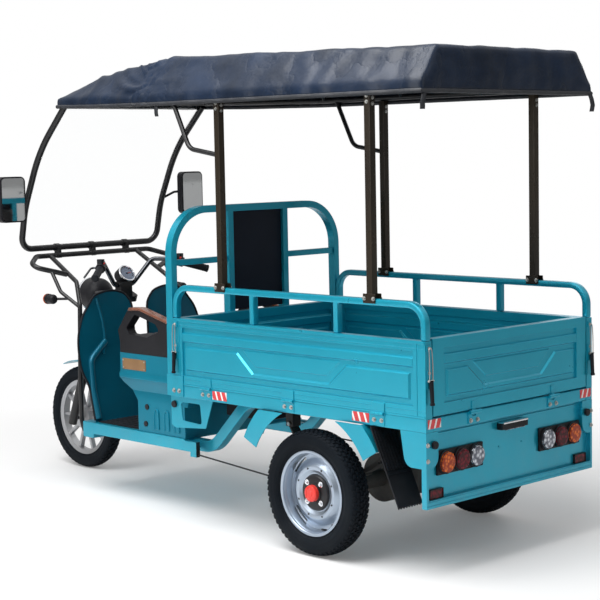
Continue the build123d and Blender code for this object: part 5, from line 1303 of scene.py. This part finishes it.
            def bar(ends: Profile, lift: float, rounding: float) -> None:
                """Raised bar between two opposite corners, each given down and across the flap."""
                (first, left), (last, right) = ends
                corners = ((first, left), (first, right), (last, right), (last, left))
                work.plate([at(*corner, 2.6) for corner in corners], at(0, 0, lift) - at(0, 0, 2.6), rounding)

            edge = [at(0, 0, -3), at(0, width, -3)]
            for index in range(self.flap_teeth):
                edge.append(at(run.length - 3, width - index * pitch, -3))
                edge.append(at(run.length - 12, width - (index + 0.5) * pitch, -3))
            edge.append(at(run.length - 3, 0, -3))
            work.plate(edge, (at(0, 0, 3) - at(0, 0, -3)), 0.0)
            for index in range(self.flap_bars):
                bar([(18, 9 + index * 15.5), (178, 18 + index * 15.5)], 7, 1.2)
            bar([(188, 6), (196, width - 6)], 6, 1.0)
            for across in (22, width - 22):
                work.bolt(at(10, across, 3), at(0, 0, 8) - at(0, 0, 3), 9.0)
        work.piece("slit_mud_flaps", Body.CHASSIS, "black_rubber", ("mud_flaps",))


@dataclass
class FrontRunningGear:
    """Front wheel, fork, bars, lamp and gauge."""

    axle_x: float = 2737.0
    level: float = 258.0
    lamp_x: float = 2545.0
    lamp_level: float = 890.0
    grip_tip: Point = (2176.0, 340.0, 1014.0)
    grip_root: Point = (2292.0, 206.0, 1064.0)
    grip_ribs: int = 12
    gauge_centre: Point = (2402.0, -22.0, 1000.0)
    gauge_tilt: float = 35.0
    rake: float = 22.0
    leg_y: float = 82.0
    gaiter_foot: float = 500.0

    def build(self) -> None:
        """Make and dress the front running gear."""
        Tyre("front_tread", Body.FRONT_WHEEL, "front_tyre", (self.axle_x, 0, self.level), radius=258.0,
             bead=190.0, half=37.0, inset=12.0, rows=(-24.0, -8.0, 8.0, 24.0), blocks=54,
             block=(13.0, 20.0)).build()
        rounded("front_wheel", Body.FRONT_WHEEL, "cast_alloy", CAST_ALLOY, 2.6)
        for node, slot, finish, rounding in (("fork", "black_steel", BLACK_STEEL, 2.0),
                                             ("front_mudguard", "teal_paint", TEAL, 1.0),
                                             ("headlamp", "black_plastic", PLASTIC, 2.0)):
            rounded(node, Body.STEERING, slot, finish, rounding)
        dress("headlamp_lens", CLEAR)
        # the handlebar's chrome is darkened, a painted dark reflection
        dress("handlebar", CHROME_PAINTED_DARK_REFLECTION)
        self.lamp_ring()
        self.grips()
        self.gauge()
        self.gaiters()

    def lamp_ring(self) -> None:
        """Bright ring round the headlamp's lens."""
        work = Workpiece(CHROME)
        ring = [(72.5, -4), (80, -4), (82, 2), (80, 9), (75, 11), (72.5, 7)]
        work.turned(ring, spot(self.lamp_x + 120, 0, self.lamp_level), -BACK, 0, 64)
        work.piece("headlamp_ring", Body.STEERING, "bright_steel")

    def grips(self) -> None:
        """Ribbed grips, switch housings and end caps."""
        work = Workpiece(SOFT_RUBBER, PLASTIC, CAP_RED)
        for side in SIDES:
            turn = Vector((1, side, 1))
            tip, root = spot(*turn * Vector(self.grip_tip)), spot(*turn * Vector(self.grip_root))
            along = (tip - root).normalized()
            start = tip - along * 0.113
            ribs: Profile = [(11.3, 0), (17, 0), (18.5, 3)]
            for index in range(self.grip_ribs):
                place = 8 + index * 8.6
                ribs += [(16.9, place), (17.6, place + 2), (17.6, place + 6), (16.9, place + 8)]
            ribs += [(18.5, 116), (18.8, 122), (15, 125), (11.3, 125)]
            work.turned(ribs, start, along, 0, 28)
            work.turned([(0, 110), (11, 110), (14, 125.6), (9, 127), (0, 127)], start, along, 0, 24, False)
            switch = [(11.3, -46), (22, -46), (24, -43), (24, -24), (23, -23), (24, -22), (24, -3), (22, 0),
                      (11.3, 0)]
            work.turned(switch, start, along, 1, 32)
            button = start - along * 0.030 + Vector((-0.016, 0, 0.014))
            work.rod(button, button + Vector((-0.008, 0, 0.006)), 5.5, 2, 14, 1.0)
        work.piece("ribbed_grips", Body.STEERING, "black_rubber", ("grips",))

    def gauge(self) -> None:
        """Round gauge with a dark dial, needle and ticks."""
        dress("gauge", PLASTIC)
        work = Workpiece(DIAL, PLASTIC, CAP_RED, CHROME)
        tilt = math.radians(self.gauge_tilt)
        out = Vector((-math.cos(tilt), 0, math.sin(tilt)))
        centre = spot(*self.gauge_centre)
        work.turned([(0, 0.6), (38, 0.6), (38, 0), (0, 0)], centre, out, 0, 48, False)
        work.turned([(38, 0), (46.2, 0), (46.2, 3), (44, 6), (40, 6), (38, 2)], centre, out, 3, 48)
        up = Vector((math.sin(tilt), 0, math.cos(tilt)))
        for index in range(13):
            angle = math.radians(-120 + 20 * index)
            ray = up * math.cos(angle) + LEFT * math.sin(angle)
            work.rod(centre + ray * 0.029 + out * 0.0010, centre + ray * 0.036 + out * 0.0010, 0.9, 1, 8)
        ray = up * math.cos(-1.4) + LEFT * math.sin(-1.4)
        work.rod(centre + out * 0.0018, centre + ray * 0.030 + out * 0.0018, 1.4, 2, 8, 0.0, 0.5)
        work.rod(centre, centre + out * 0.004, 4.5, 1, 16, 0.8)
        work.piece("gauge_dial", Body.STEERING, "clear_lens")

    def gaiters(self) -> None:
        """Rubber gaiters on the fork legs."""
        work = Workpiece(SOFT_RUBBER)
        rake = math.radians(self.rake)
        up = Vector((-math.sin(rake), 0, math.cos(rake)))
        foot_x = self.axle_x + math.tan(rake) * (self.level - self.gaiter_foot)
        profile: Profile = [(16.3, 0)]
        for place in range(0, 84, 12):
            profile += [(20, place + 2), (25.5, place + 6), (25.5, place + 9), (20, place + 13)]
        profile.append((16.3, 88))
        for side in SIDES:
            work.turned(profile, spot(foot_x, side * self.leg_y, self.gaiter_foot), up, 0, 28)
        work.piece("fork_gaiters", Body.STEERING, "black_rubber")


@dataclass
class Cushion:
    """Vinyl pad swollen by cloth simulation from its CAD block, in metres."""

    name: str
    node: str
    finish: Finish
    slot: str
    most_swelling: float = 0.008
    inset: float = 0.006
    rounding: float = 0.016
    voxel: float = 0.006
    quick_voxel: float = 0.007
    pressure: float = 4.0
    steps: int = 20
    groove_half: float = 0.007
    groove_depth: float = 0.009
    margin: float = 0.001

    def build(self, axis: int, seams: list[float], out: Vector) -> None:
        """Make the pad.

        Args:
            axis: coordinate that the sewn channels divide, 0 to 2.
            seams: places of the channels along it, in metres.
            out: direction that the pad's face looks in.
        """
        low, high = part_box(self.node)
        inset = Vector((self.inset, self.inset, self.inset))
        made = bmesh.new()
        middle, size = (low + high) / 2, high - low - 2 * inset
        scale = Matrix.Diagonal((*size, 1))
        bmesh.ops.create_cube(made, size=1.0, matrix=Matrix.Translation(middle) @ scale)
        Workpiece.round_edges(made, self.rounding, 3)
        pad = placed(self.name, meshed(self.name, made))
        self.swell(pad)
        self.sew(pad, axis, seams, out, low, high)
        pad.data.materials.append(self.finish.material())
        pad.data.shade_smooth()
        smooth = pad.modifiers.new("soften", "SUBSURF")
        smooth.levels = smooth.render_levels = 1
        declare(pad, Body.CHASSIS, self.slot, self.node)
        LOG.info("padded piece %s: %d faces", self.name, len(pad.data.polygons))

    def swell(self, pad: Object) -> None:
        """Remesh the block and let cloth pressure round it.

        Args:
            pad: the pad's object.
        """
        remesh = pad.modifiers.new("even", "REMESH")
        remesh.mode = "VOXEL"
        remesh.voxel_size = self.voxel
        self.apply(pad)
        rest = [vert.co.copy() for vert in pad.data.vertices]
        cloth = pad.modifiers.new("swell", "CLOTH")
        cloth.settings.use_pressure = True
        cloth.settings.uniform_pressure_force = self.pressure
        cloth.settings.effector_weights.gravity = 0.0
        cloth.settings.quality = 4
        scene = bpy.context.scene
        for step in range(1, self.steps + 1):
            scene.frame_set(step)
        self.apply(pad)
        scene.frame_set(1)
        for vert, start in zip(pad.data.vertices, rest):
            shift = vert.co - start
            if shift.length > self.most_swelling:
                vert.co = start + shift * (self.most_swelling / shift.length)

    @staticmethod
    def apply(pad: Object) -> None:
        """Turn what the modifiers show into the pad's own mesh.

        Args:
            pad: the pad's object.
        """
        shown = pad.evaluated_get(bpy.context.evaluated_depsgraph_get())
        mesh = bpy.data.meshes.new_from_object(shown)
        pad.modifiers.clear()
        pad.data = mesh

    def sew(self, pad: Object, axis: int, seams: list[float], out: Vector, low: Vector,
            high: Vector) -> None:
        """Press the sewn channels in and keep the pad inside its room.

        Args:
            pad: the pad's object.
            axis: coordinate that the channels divide.
            seams: places of the channels.
            out: direction that the face looks in.
            low: lowest corner of the pad's room.
            high: highest corner of the pad's room.
        """
        made = bmesh.new()
        made.from_mesh(pad.data)
        made.normal_update()
        for vert in made.verts:
            facing = max(0.0, vert.normal.dot(out))
            groove = sum(math.exp(-(((vert.co[axis] - seam) / self.groove_half) ** 2)) for seam in seams)
            vert.co -= out * (self.groove_depth * facing * min(groove, 1.0))
        bmesh.ops.smooth_vert(made, verts=made.verts, factor=0.4, use_axis_x=True, use_axis_y=True,
                              use_axis_z=True)
        for vert in made.verts:
            vert.co = Vector(min(max(value, first + self.margin), last - self.margin)
                             for value, first, last in zip(vert.co, low, high))
        made.to_mesh(pad.data)
        made.free()


@dataclass
class DriverPlace:
    """Seat box, seat, armrests, backrest, floor and frame."""

    floor_top: float = 332.0
    box_face: float = 355.0
    rib_places: tuple[float, ...] = (1736.0, 1665.0, 1595.0)
    rib_route: tuple[tuple[float, float], ...] = (
        (-15, 352), (-15, 424), (-9, 437), (0, 441), (9, 437), (15, 424), (15, 352))
    plate_inside: float = 378.0
    plate_face: float = 382.5
    louvres: int = 5
    mat_ribs: int = 22
    mat_half: float = 340.0

    def build(self) -> None:
        """Make and dress the driver's place."""
        # the seat box takes the darkened teal, a painted shade
        for node, slot, finish, rounding in (
                ("seat_box", "teal_paint", SEAT_BOX_TEAL_PAINTED_SHADE, 4.0), ("seat_base", "black_plastic", PLASTIC, 3.0),
                ("backrest_hoop", "teal_paint", TEAL, 6.0),
                ("backrest_panel", "black_vinyl", BOARD_VINYL, 2.0),
                ("floor_pan", "teal_paint", TEAL, 3.0), ("main_beams", "teal_paint", TEAL, 5.0),
                ("steering_head", "teal_paint", TEAL, 2.0), ("controller_box", "black_plastic", PLASTIC, 6.0),
                ("battery", "black_plastic", PLASTIC, 4.0)):
            rounded(node, Body.CHASSIS, slot, finish, rounding)
        self.pads()
        self.cushions()
        self.panels()
        self.mat()

    def pads(self) -> None:
        """Moulded armrest pads."""
        work = Workpiece(BROWN_PAD)
        work.cad("armrest_pads", 6.0, 4)
        pads = work.piece("moulded_armrests", Body.CHASSIS, "brown_pad", ("armrest_pads",), 60.0)

    def cushions(self) -> None:
        """Seat cushion and back pad."""
        seat = Cushion("pleated_seat", "seat_cushion", VINYL, "black_vinyl")
        seat.build(1, [-0.22, -0.11, 0.0, 0.11, 0.22], UP)
        back = Cushion("pleated_back", "backrest_pad", VINYL, "black_vinyl")
        back.build(2, [0.98, 1.06, 1.14, 1.22], -BACK)

    def panels(self) -> None:
        """Ribs, plugs and bare plate of the seat box, and louvres at its front."""
        # ribs and plugs in the darkened teal: painted shade, as on the seat box
        work = Workpiece(SEAT_BOX_TEAL_PAINTED_SHADE, PLASTIC, PLATE, ZINC)
        for side in SIDES:
            face = side * self.box_face
            low, high = sorted((face - side * 3, face + side * 2))
            for x in self.rib_places:
                work.pipe([spot(x + along, face + side, z) for along, z in self.rib_route], 5.0)
                work.box((x - 12, low, 350), (x + 12, high, 432), 3.0)
            for x, z in ((1801, 447), (1812, 369)):
                work.rod(spot(x, face - side * 2, z), spot(x, face + side * 5, z), 13.0, 1, 24, 2.5)
            low, high = sorted((side * self.plate_inside, side * self.plate_face))
            work.box((1772, low, 612), (1938, high, 662), 2.0, 2)
            for x, z in ((1780, 620), (1930, 620), (1780, 654), (1930, 654)):
                work.bolt(spot(x, side * self.plate_face, z), LEFT * side, 5.0, 3)
        for index in range(self.louvres):
            z = 372 + 18 * index
            work.box((1866, -150, z), (1872, 150, z + 9), 2.5, 1)
        work.box((1955, -110, 610), (1961, 110, 655), 2.5, 1)
        work.piece("seat_box_fittings", Body.CHASSIS, "teal_paint")

    def mat(self) -> None:
        """Ribbed rubber mat on the floor."""
        work = Workpiece(SOFT_RUBBER)
        top = self.floor_top
        work.box((1876, -self.mat_half, top + 0.2), (2186, self.mat_half, top + 4), 1.2)
        for index in range(self.mat_ribs):
            y = -325 + 31 * index
            work.box((1886, y - 7, top + 3.5), (2176, y + 7, top + 7), 1.4)
        work.piece("floor_mat", Body.CHASSIS, "black_rubber")


@dataclass
class FrontEnd:
    """Leg shield, guard, windscreen, mirrors and indicators."""

    guard_x: float = 2636.0
    guard_level: float = 1096.0
    clamp_places: tuple[float, ...] = (-210.0, 0.0, 210.0)
    indicator: Point = (2450.0, 402.0, 904.0)
    # stations of the shield's rear face and their heights
    shield: tuple[tuple[float, float], ...] = (
        (2200.0, 327.0), (2236.0, 480.0), (2271.0, 650.0), (2288.0, 938.0))

    def build(self) -> None:
        """Make and dress the front end."""
        # the leg shield takes the darker teal, a painted shade
        rounded("leg_shield", Body.CHASSIS, "teal_paint", SHIELD_TEAL_PAINTED_SHADE, 1.4)
        rounded("mirror_housings", Body.CHASSIS, "black_plastic", PLASTIC, 9.0, 4)
        for node, finish in (("front_guard", BLACK_STEEL), ("windscreen_hoop", BLACK_STEEL),
                             ("windscreen", SCREEN), ("mirror_glass", MIRROR), ("front_indicators", PLASTIC)):
            dress(node, finish)
        self.trim()
        self.clips()
        self.indicator_cups()

    def shield_x(self, z: float) -> float:
        """Place of the shield's rear face at a height, in millimetres."""
        for (x0, z0), (x1, z1) in zip(self.shield, self.shield[1:]):
            if z <= z1:
                return x0 + (x1 - x0) * (z - z0) / (z1 - z0)
        return self.shield[-1][0]

    def trim(self) -> None:
        """Rubber edge round the shield's wings, and their pressed creases."""
        # creases in the darker shield teal: painted shade
        work = Workpiece(SOFT_RUBBER, SHIELD_TEAL_PAINTED_SHADE)
        outline = [(346, 340), (346, 440), (346, 496), (366, 545), (379, 585), (379, 650), (379, 712),
                   (370, 760), (346, 826), (312, 868), (272, 918), (230, 930), (176, 938), (132, 932),
                   (92, 920), (70, 898), (46, 864), (44, 800), (42, 700)]
        crease = [(258, 905), (240, 840), (226, 775), (222, 700), (236, 640)]
        for side in SIDES:
            work.pipe([spot(self.shield_x(z), side * y, z) for y, z in outline], 5.0, 0)
            work.pipe([spot(self.shield_x(z) - 2, side * y, z) for y, z in crease], 7.0, 1)
        work.piece("shield_trim", Body.CHASSIS, "black_rubber")

    def clips(self) -> None:
        """Clamps and screws that hold the windscreen's foot to the guard."""
        work = Workpiece(BLACK_STEEL, ZINC)
        for y in self.clamp_places:
            for x, z, radius in ((self.guard_x + 20, 1134, 19.0), (self.guard_x, self.guard_level, 14.5)):
                work.rod(spot(x, y - 13, z), spot(x, y + 13, z), radius, 0, 24, 1.5)
            work.bolt(spot(self.guard_x + 1, y, 1120), BACK, 9.0, 1)
        work.piece("screen_clamps", Body.CHASSIS, "black_steel")

    def indicator_cups(self) -> None:
        """Cups and amber lenses of the front lamps."""
        work = Workpiece(PLASTIC, AMBER)
        cup = [(0, -37), (12, -36.5), (21, -30), (24.4, -18), (24.4, -8), (22.6, -8), (22.6, -18), (0, -20)]
        lens = [(0, 22), (22, 22), (25.4, 23.5), (23.8, 29), (17, 34.6), (8, 37), (0, 37.4)]
        x, y, z = self.indicator
        for side in SIDES:
            centre = spot(x, side * y, z)
            work.turned(cup, centre, BACK, 0, 36, False)
            work.turned(lens, centre, -BACK, 1, 36, False)
        work.piece("indicator_cups", Body.CHASSIS, "black_plastic")


@dataclass
class CanopyTop:
    """Coated cover on its frame and posts."""

    # columns: station, low half width, low edge, top half width, top
    rows: tuple[tuple[float, ...], ...] = (
        (4.0, 515.0, 1788.0, 420.0, 1957.0), (1500.0, 515.0, 1790.0, 405.0, 1992.0),
        (2000.0, 469.1, 1797.0, 394.1, 1936.0), (2295.0, 442.0, 1805.0, 400.0, 1852.0))
    valance: float = 40.0
    bows: tuple[float, ...] = (60.0, 525.0, 1000.0, 1480.0)
    sag: float = 9.0
    sag_reach: float = 200.0
    nose_sag: float = 4.0
    hem_fold: float = 13.0
    fine_fold: float = 3.2
    bend_x: float = 1720.0
    bend_reach: float = 260.0
    bend_fold: float = 17.0
    corner: tuple[float, float] = (1560.0, 470.0)
    bow_ridge: float = 3.0
    bow_ridge_x: float = 2010.0
    rear_fold: float = 5.0
    rear_reach: float = 30.0
    hem_radius: float = 9.0
    weld: float = 1e-4
    cloth: float = 0.0022
    strap_cloth: float = 0.0018
    post_places: tuple[float, ...] = (274.06, 1112.0)
    across: int = 96
    rear_rows: int = 10
    body_rows: int = 150
    front_rows: int = 4

    def build(self) -> None:
        """Make and dress the canopy."""
        # posts in black enamel with a painted warm reflection
        for node, finish in (("canopy_posts", POST_ENAMEL_PAINTED_REFLECTION), ("canopy_frame", BLACK_STEEL)):
            rounded(node, Body.CHASSIS, "black_steel", finish, 3.0)
        self.fasteners()
        self.cover()

    def row_at(self, x: float) -> list[float]:
        """Row of the cover's outline at a station, in millimetres."""
        for first, second in zip(self.rows, self.rows[1:]):
            if x <= second[0]:
                share = (x - first[0]) / (second[0] - first[0])
                return [low + share * (high - low) for low, high in zip(first, second)]
        return list(self.rows[-1])

    def section(self, x: float, share: float) -> tuple[float, float]:
        """Point of the cover's section.

        Args:
            x: station in millimetres.
            share: place across, from -1 to 1, by length along the cloth.

        Returns:
            The point as (y, z) in millimetres.
        """
        _, low_half, low_z, top_half, top_z = self.row_at(x)
        shoulder = min(low_z + self.valance, top_z - 8)
        slope = math.hypot(low_half - top_half, top_z - shoulder)
        drop = shoulder - low_z
        side = math.copysign(1.0, share)
        way = abs(share) * (top_half + slope + drop)
        if way <= top_half:
            return side * way, top_z
        if way <= top_half + slope:
            part = (way - top_half) / slope
            return side * (top_half + part * (low_half - top_half)), top_z + part * (shoulder - top_z)
        return side * low_half, shoulder - (way - top_half - slope)

    def crown(self, x: float, y: float, z: float) -> float:
        """Lift of the cloth over its bows and sag between them, in millimetres.

        Args:
            x: station.
            y: place across.
            z: height before the lift.

        Returns:
            The change in height.
        """
        _, low_half, low_z, _, top_z = self.row_at(x)
        high = max(0.0, (z - low_z) / (top_z - low_z))
        last, nose = self.bows[-1], self.rows[-1][0]
        if x < last:
            gap = min(abs(x - bow) for bow in self.bows)
            sag = -min(gap, self.sag_reach) / self.sag_reach * self.sag
        else:
            sag = -self.nose_sag * math.sin(math.pi * (x - last) / (nose - last))
        return high * sag * math.cos(0.5 * math.pi * min(1.0, abs(y) / low_half))

    def place(self, along: float, share: float) -> Vector:
        """Point of the sheet.

        Args:
            along: row number from the rear hem.
            share: place across, from -1 to 1.

        Returns:
            The point in metres.
        """
        rear, front = self.rows[0], self.rows[-1]
        if along < self.rear_rows:
            part = 1 - along / self.rear_rows
            y, z = self.section(rear[0], share)
            flat_y, flat_z = share * rear[1], rear[2]
            bulge = 6.0 * math.sin(math.pi * part)
            return spot(rear[0] - bulge, y + part * (flat_y - y), z + part * (flat_z - z))
        if along > self.rear_rows + self.body_rows:
            part = (along - self.rear_rows - self.body_rows) / self.front_rows
            y, z = self.section(front[0], share)
            flat_y, flat_z = share * front[1], front[2]
            bulge = 2.0 * math.sin(math.pi * part)
            return spot(front[0] + bulge, y + part * (flat_y - y), z + part * (flat_z - z))
        x = rear[0] + (front[0] - rear[0]) * (along - self.rear_rows) / self.body_rows
        y, z = self.section(x, share)
        return spot(x, y, z + self.crown(x, y, z))

    def wrinkle(self, point: Vector) -> float:
        """Depth of the cloth's folds at a point, in metres."""
        x, y, z = point.x * 1000 + MID_X, point.y * 1000, point.z * 1000
        _, _, low_z, _, top_z = self.row_at(min(max(x, self.rows[0][0]), self.rows[-1][0]))
        hem = 1.0 - min(1.0, max(0.0, (z - low_z) / (top_z - low_z)))
        fold = noise.noise(Vector((x / 95.0, y / 240.0, 3.1))) * self.hem_fold * hem
        fold += noise.noise(Vector((x / 62.0, y / 90.0, z / 48.0))) * self.fine_fold
        front = math.exp(-(((x - self.bend_x) / self.bend_reach) ** 2))
        corner_x, corner_y = self.corner
        angle = math.atan2(y - corner_y, x - corner_x) + math.atan2(-y - corner_y, x - corner_x)
        fold += front * self.bend_fold * noise.noise(Vector((angle * 9.0, x / 420.0, 1.7)))
        fold += self.bow_ridge * math.exp(-(((x - self.bow_ridge_x) / 16.0) ** 2))
        if x < self.rear_reach:
            fold += self.rear_fold * noise.noise(Vector((y / 70.0, z / 260.0, 5.0)))
        return fold * MM

    def cover(self) -> None:
        """Make the sheet, its bound edge and its straps."""
        count = self.rear_rows + self.body_rows + self.front_rows
        made = bmesh.new()
        bmesh.ops.create_grid(made, x_segments=count, y_segments=self.across, size=1.0)
        for vert in made.verts:
            vert.co = self.place((vert.co.x + 1) / 2 * count, vert.co.y)
        bmesh.ops.remove_doubles(made, verts=made.verts, dist=self.weld)
        for _ in range(2):
            inner = [vert for vert in made.verts if not vert.is_boundary]
            bmesh.ops.smooth_vert(made, verts=inner, factor=0.5, use_axis_x=True, use_axis_y=True,
                                  use_axis_z=True)
        bmesh.ops.recalc_face_normals(made, faces=made.faces)
        made.normal_update()
        moves = [(vert, vert.normal * self.wrinkle(vert.co)) for vert in made.verts]
        for vert, move in moves:
            vert.co += move
        hem = self.hem(made)
        area = sum(face.calc_area() for face in made.faces)
        sheet = self.cloth_piece("canopy_sheet", made, CANOPY_PAINTED_SHEEN, self.cloth)
        declare(sheet, Body.CHASSIS, "canopy_fabric", "canopy_cover")
        LOG.info("sheet canopy_sheet: %.2f square metres", area)
        self.straps()

    @staticmethod
    def cloth_piece(name: str, made: BMesh, finish: Finish, thickness: float) -> Object:
        """Put a piece of cloth in the scene.

        Args:
            name: the piece's name.
            made: its surface, which is freed.
            finish: its finish.
            thickness: of the cloth, inward, in metres.

        Returns:
            The object.
        """
        mesh = meshed(name, made)
        mesh.shade_smooth()
        mesh.materials.append(finish.material())
        cloth = placed(name, mesh)
        wall = cloth.modifiers.new("thickness", "SOLIDIFY")
        wall.thickness = thickness
        wall.offset = -1.0
        return cloth

    def hem(self, made: BMesh) -> Object:
        """Bound edge that follows the sheet's border.

        Args:
            made: the sheet's bmesh.

        Returns:
            The edge's object.
        """
        border = {edge for edge in made.edges if edge.is_boundary}
        start = next(iter(sorted(border, key=lambda edge: edge.index)))
        loop, here = [start.verts[0]], start.verts[1]
        border.discard(start)
        while here is not loop[0]:
            loop.append(here)
            step = next(edge for edge in here.link_edges if edge in border)
            border.discard(step)
            here = step.other_vert(here)
        work = Workpiece(HEM)
        work.pipe([vert.co.copy() for vert in loop], self.hem_radius, 0, True, False)
        return work.piece("canopy_binding", Body.CHASSIS, "canopy_fabric")

    def straps(self) -> None:
        """Loose tie straps at the rear corners and the front left."""
        routes = {
            "strap_rear_left": [(0, 500, 1790), (-3, 506, 1770), (-2, 512, 1745), (2, 508, 1722)],
            "strap_rear_right": [(0, -500, 1790), (-4, -508, 1768), (-6, -514, 1742), (-2, -512, 1716)],
            "strap_front_left": [(1485, 512, 1792), (1484, 516, 1772), (1487, 514, 1752), (1486, 512, 1738)],
        }
        for name, route in routes.items():
            made = bmesh.new()
            wide = Vector((0.004, 0.009, 0.0)) if "rear" in name else Vector((0.009, 0.002, 0.0))
            stops = [spot(*point) for point in route]
            verts = [made.verts.new(stop - wide) for stop in stops]
            edges = [made.edges.new(pair) for pair in zip(verts, verts[1:])]
            grown = bmesh.ops.extrude_edge_only(made, edges=edges)
            moved = [item for item in grown["geom"] if isinstance(item, bmesh.types.BMVert)]
            bmesh.ops.translate(made, verts=moved, vec=wide * 2)
            bmesh.ops.subdivide_edges(made, edges=made.edges, cuts=1, smooth=1.0)
            strap = self.cloth_piece(name, made, HEM, self.strap_cloth)
            declare(strap, Body.CHASSIS, "canopy_fabric")
            LOG.info("strap %s", name)

    def fasteners(self) -> None:
        """Bolts of the posts' clamps and tops."""
        work = Workpiece(ZINC)
        for x in self.post_places:
            for side in SIDES:
                out = LEFT * side
                for shift in (-23, 23):
                    work.bolt(spot(x + shift, side * 513, 1030), out, 10.0)
                    work.bolt(spot(x + shift, side * 475, 1030), -out, 10.0)
                for z in (1758, 1780):
                    work.bolt(spot(x, side * 509, z), out, 9.0)
                    work.bolt(spot(x - 15, side * 494, z - 8), BACK, 9.0)
        work.piece("post_bolts", Body.CHASSIS, "bright_steel")


def main() -> None:
    """Build the stage and the sub-assemblies in order."""
    logging.basicConfig(level=logging.INFO, format="%(name)s: %(message)s")
    for part in (Studio(), LoadBed(), Tail(), RearRunningGear(), FrontRunningGear(), DriverPlace(),
                 FrontEnd(), CanopyTop()):
        part.build()


if __name__ == "__main__":
    main()
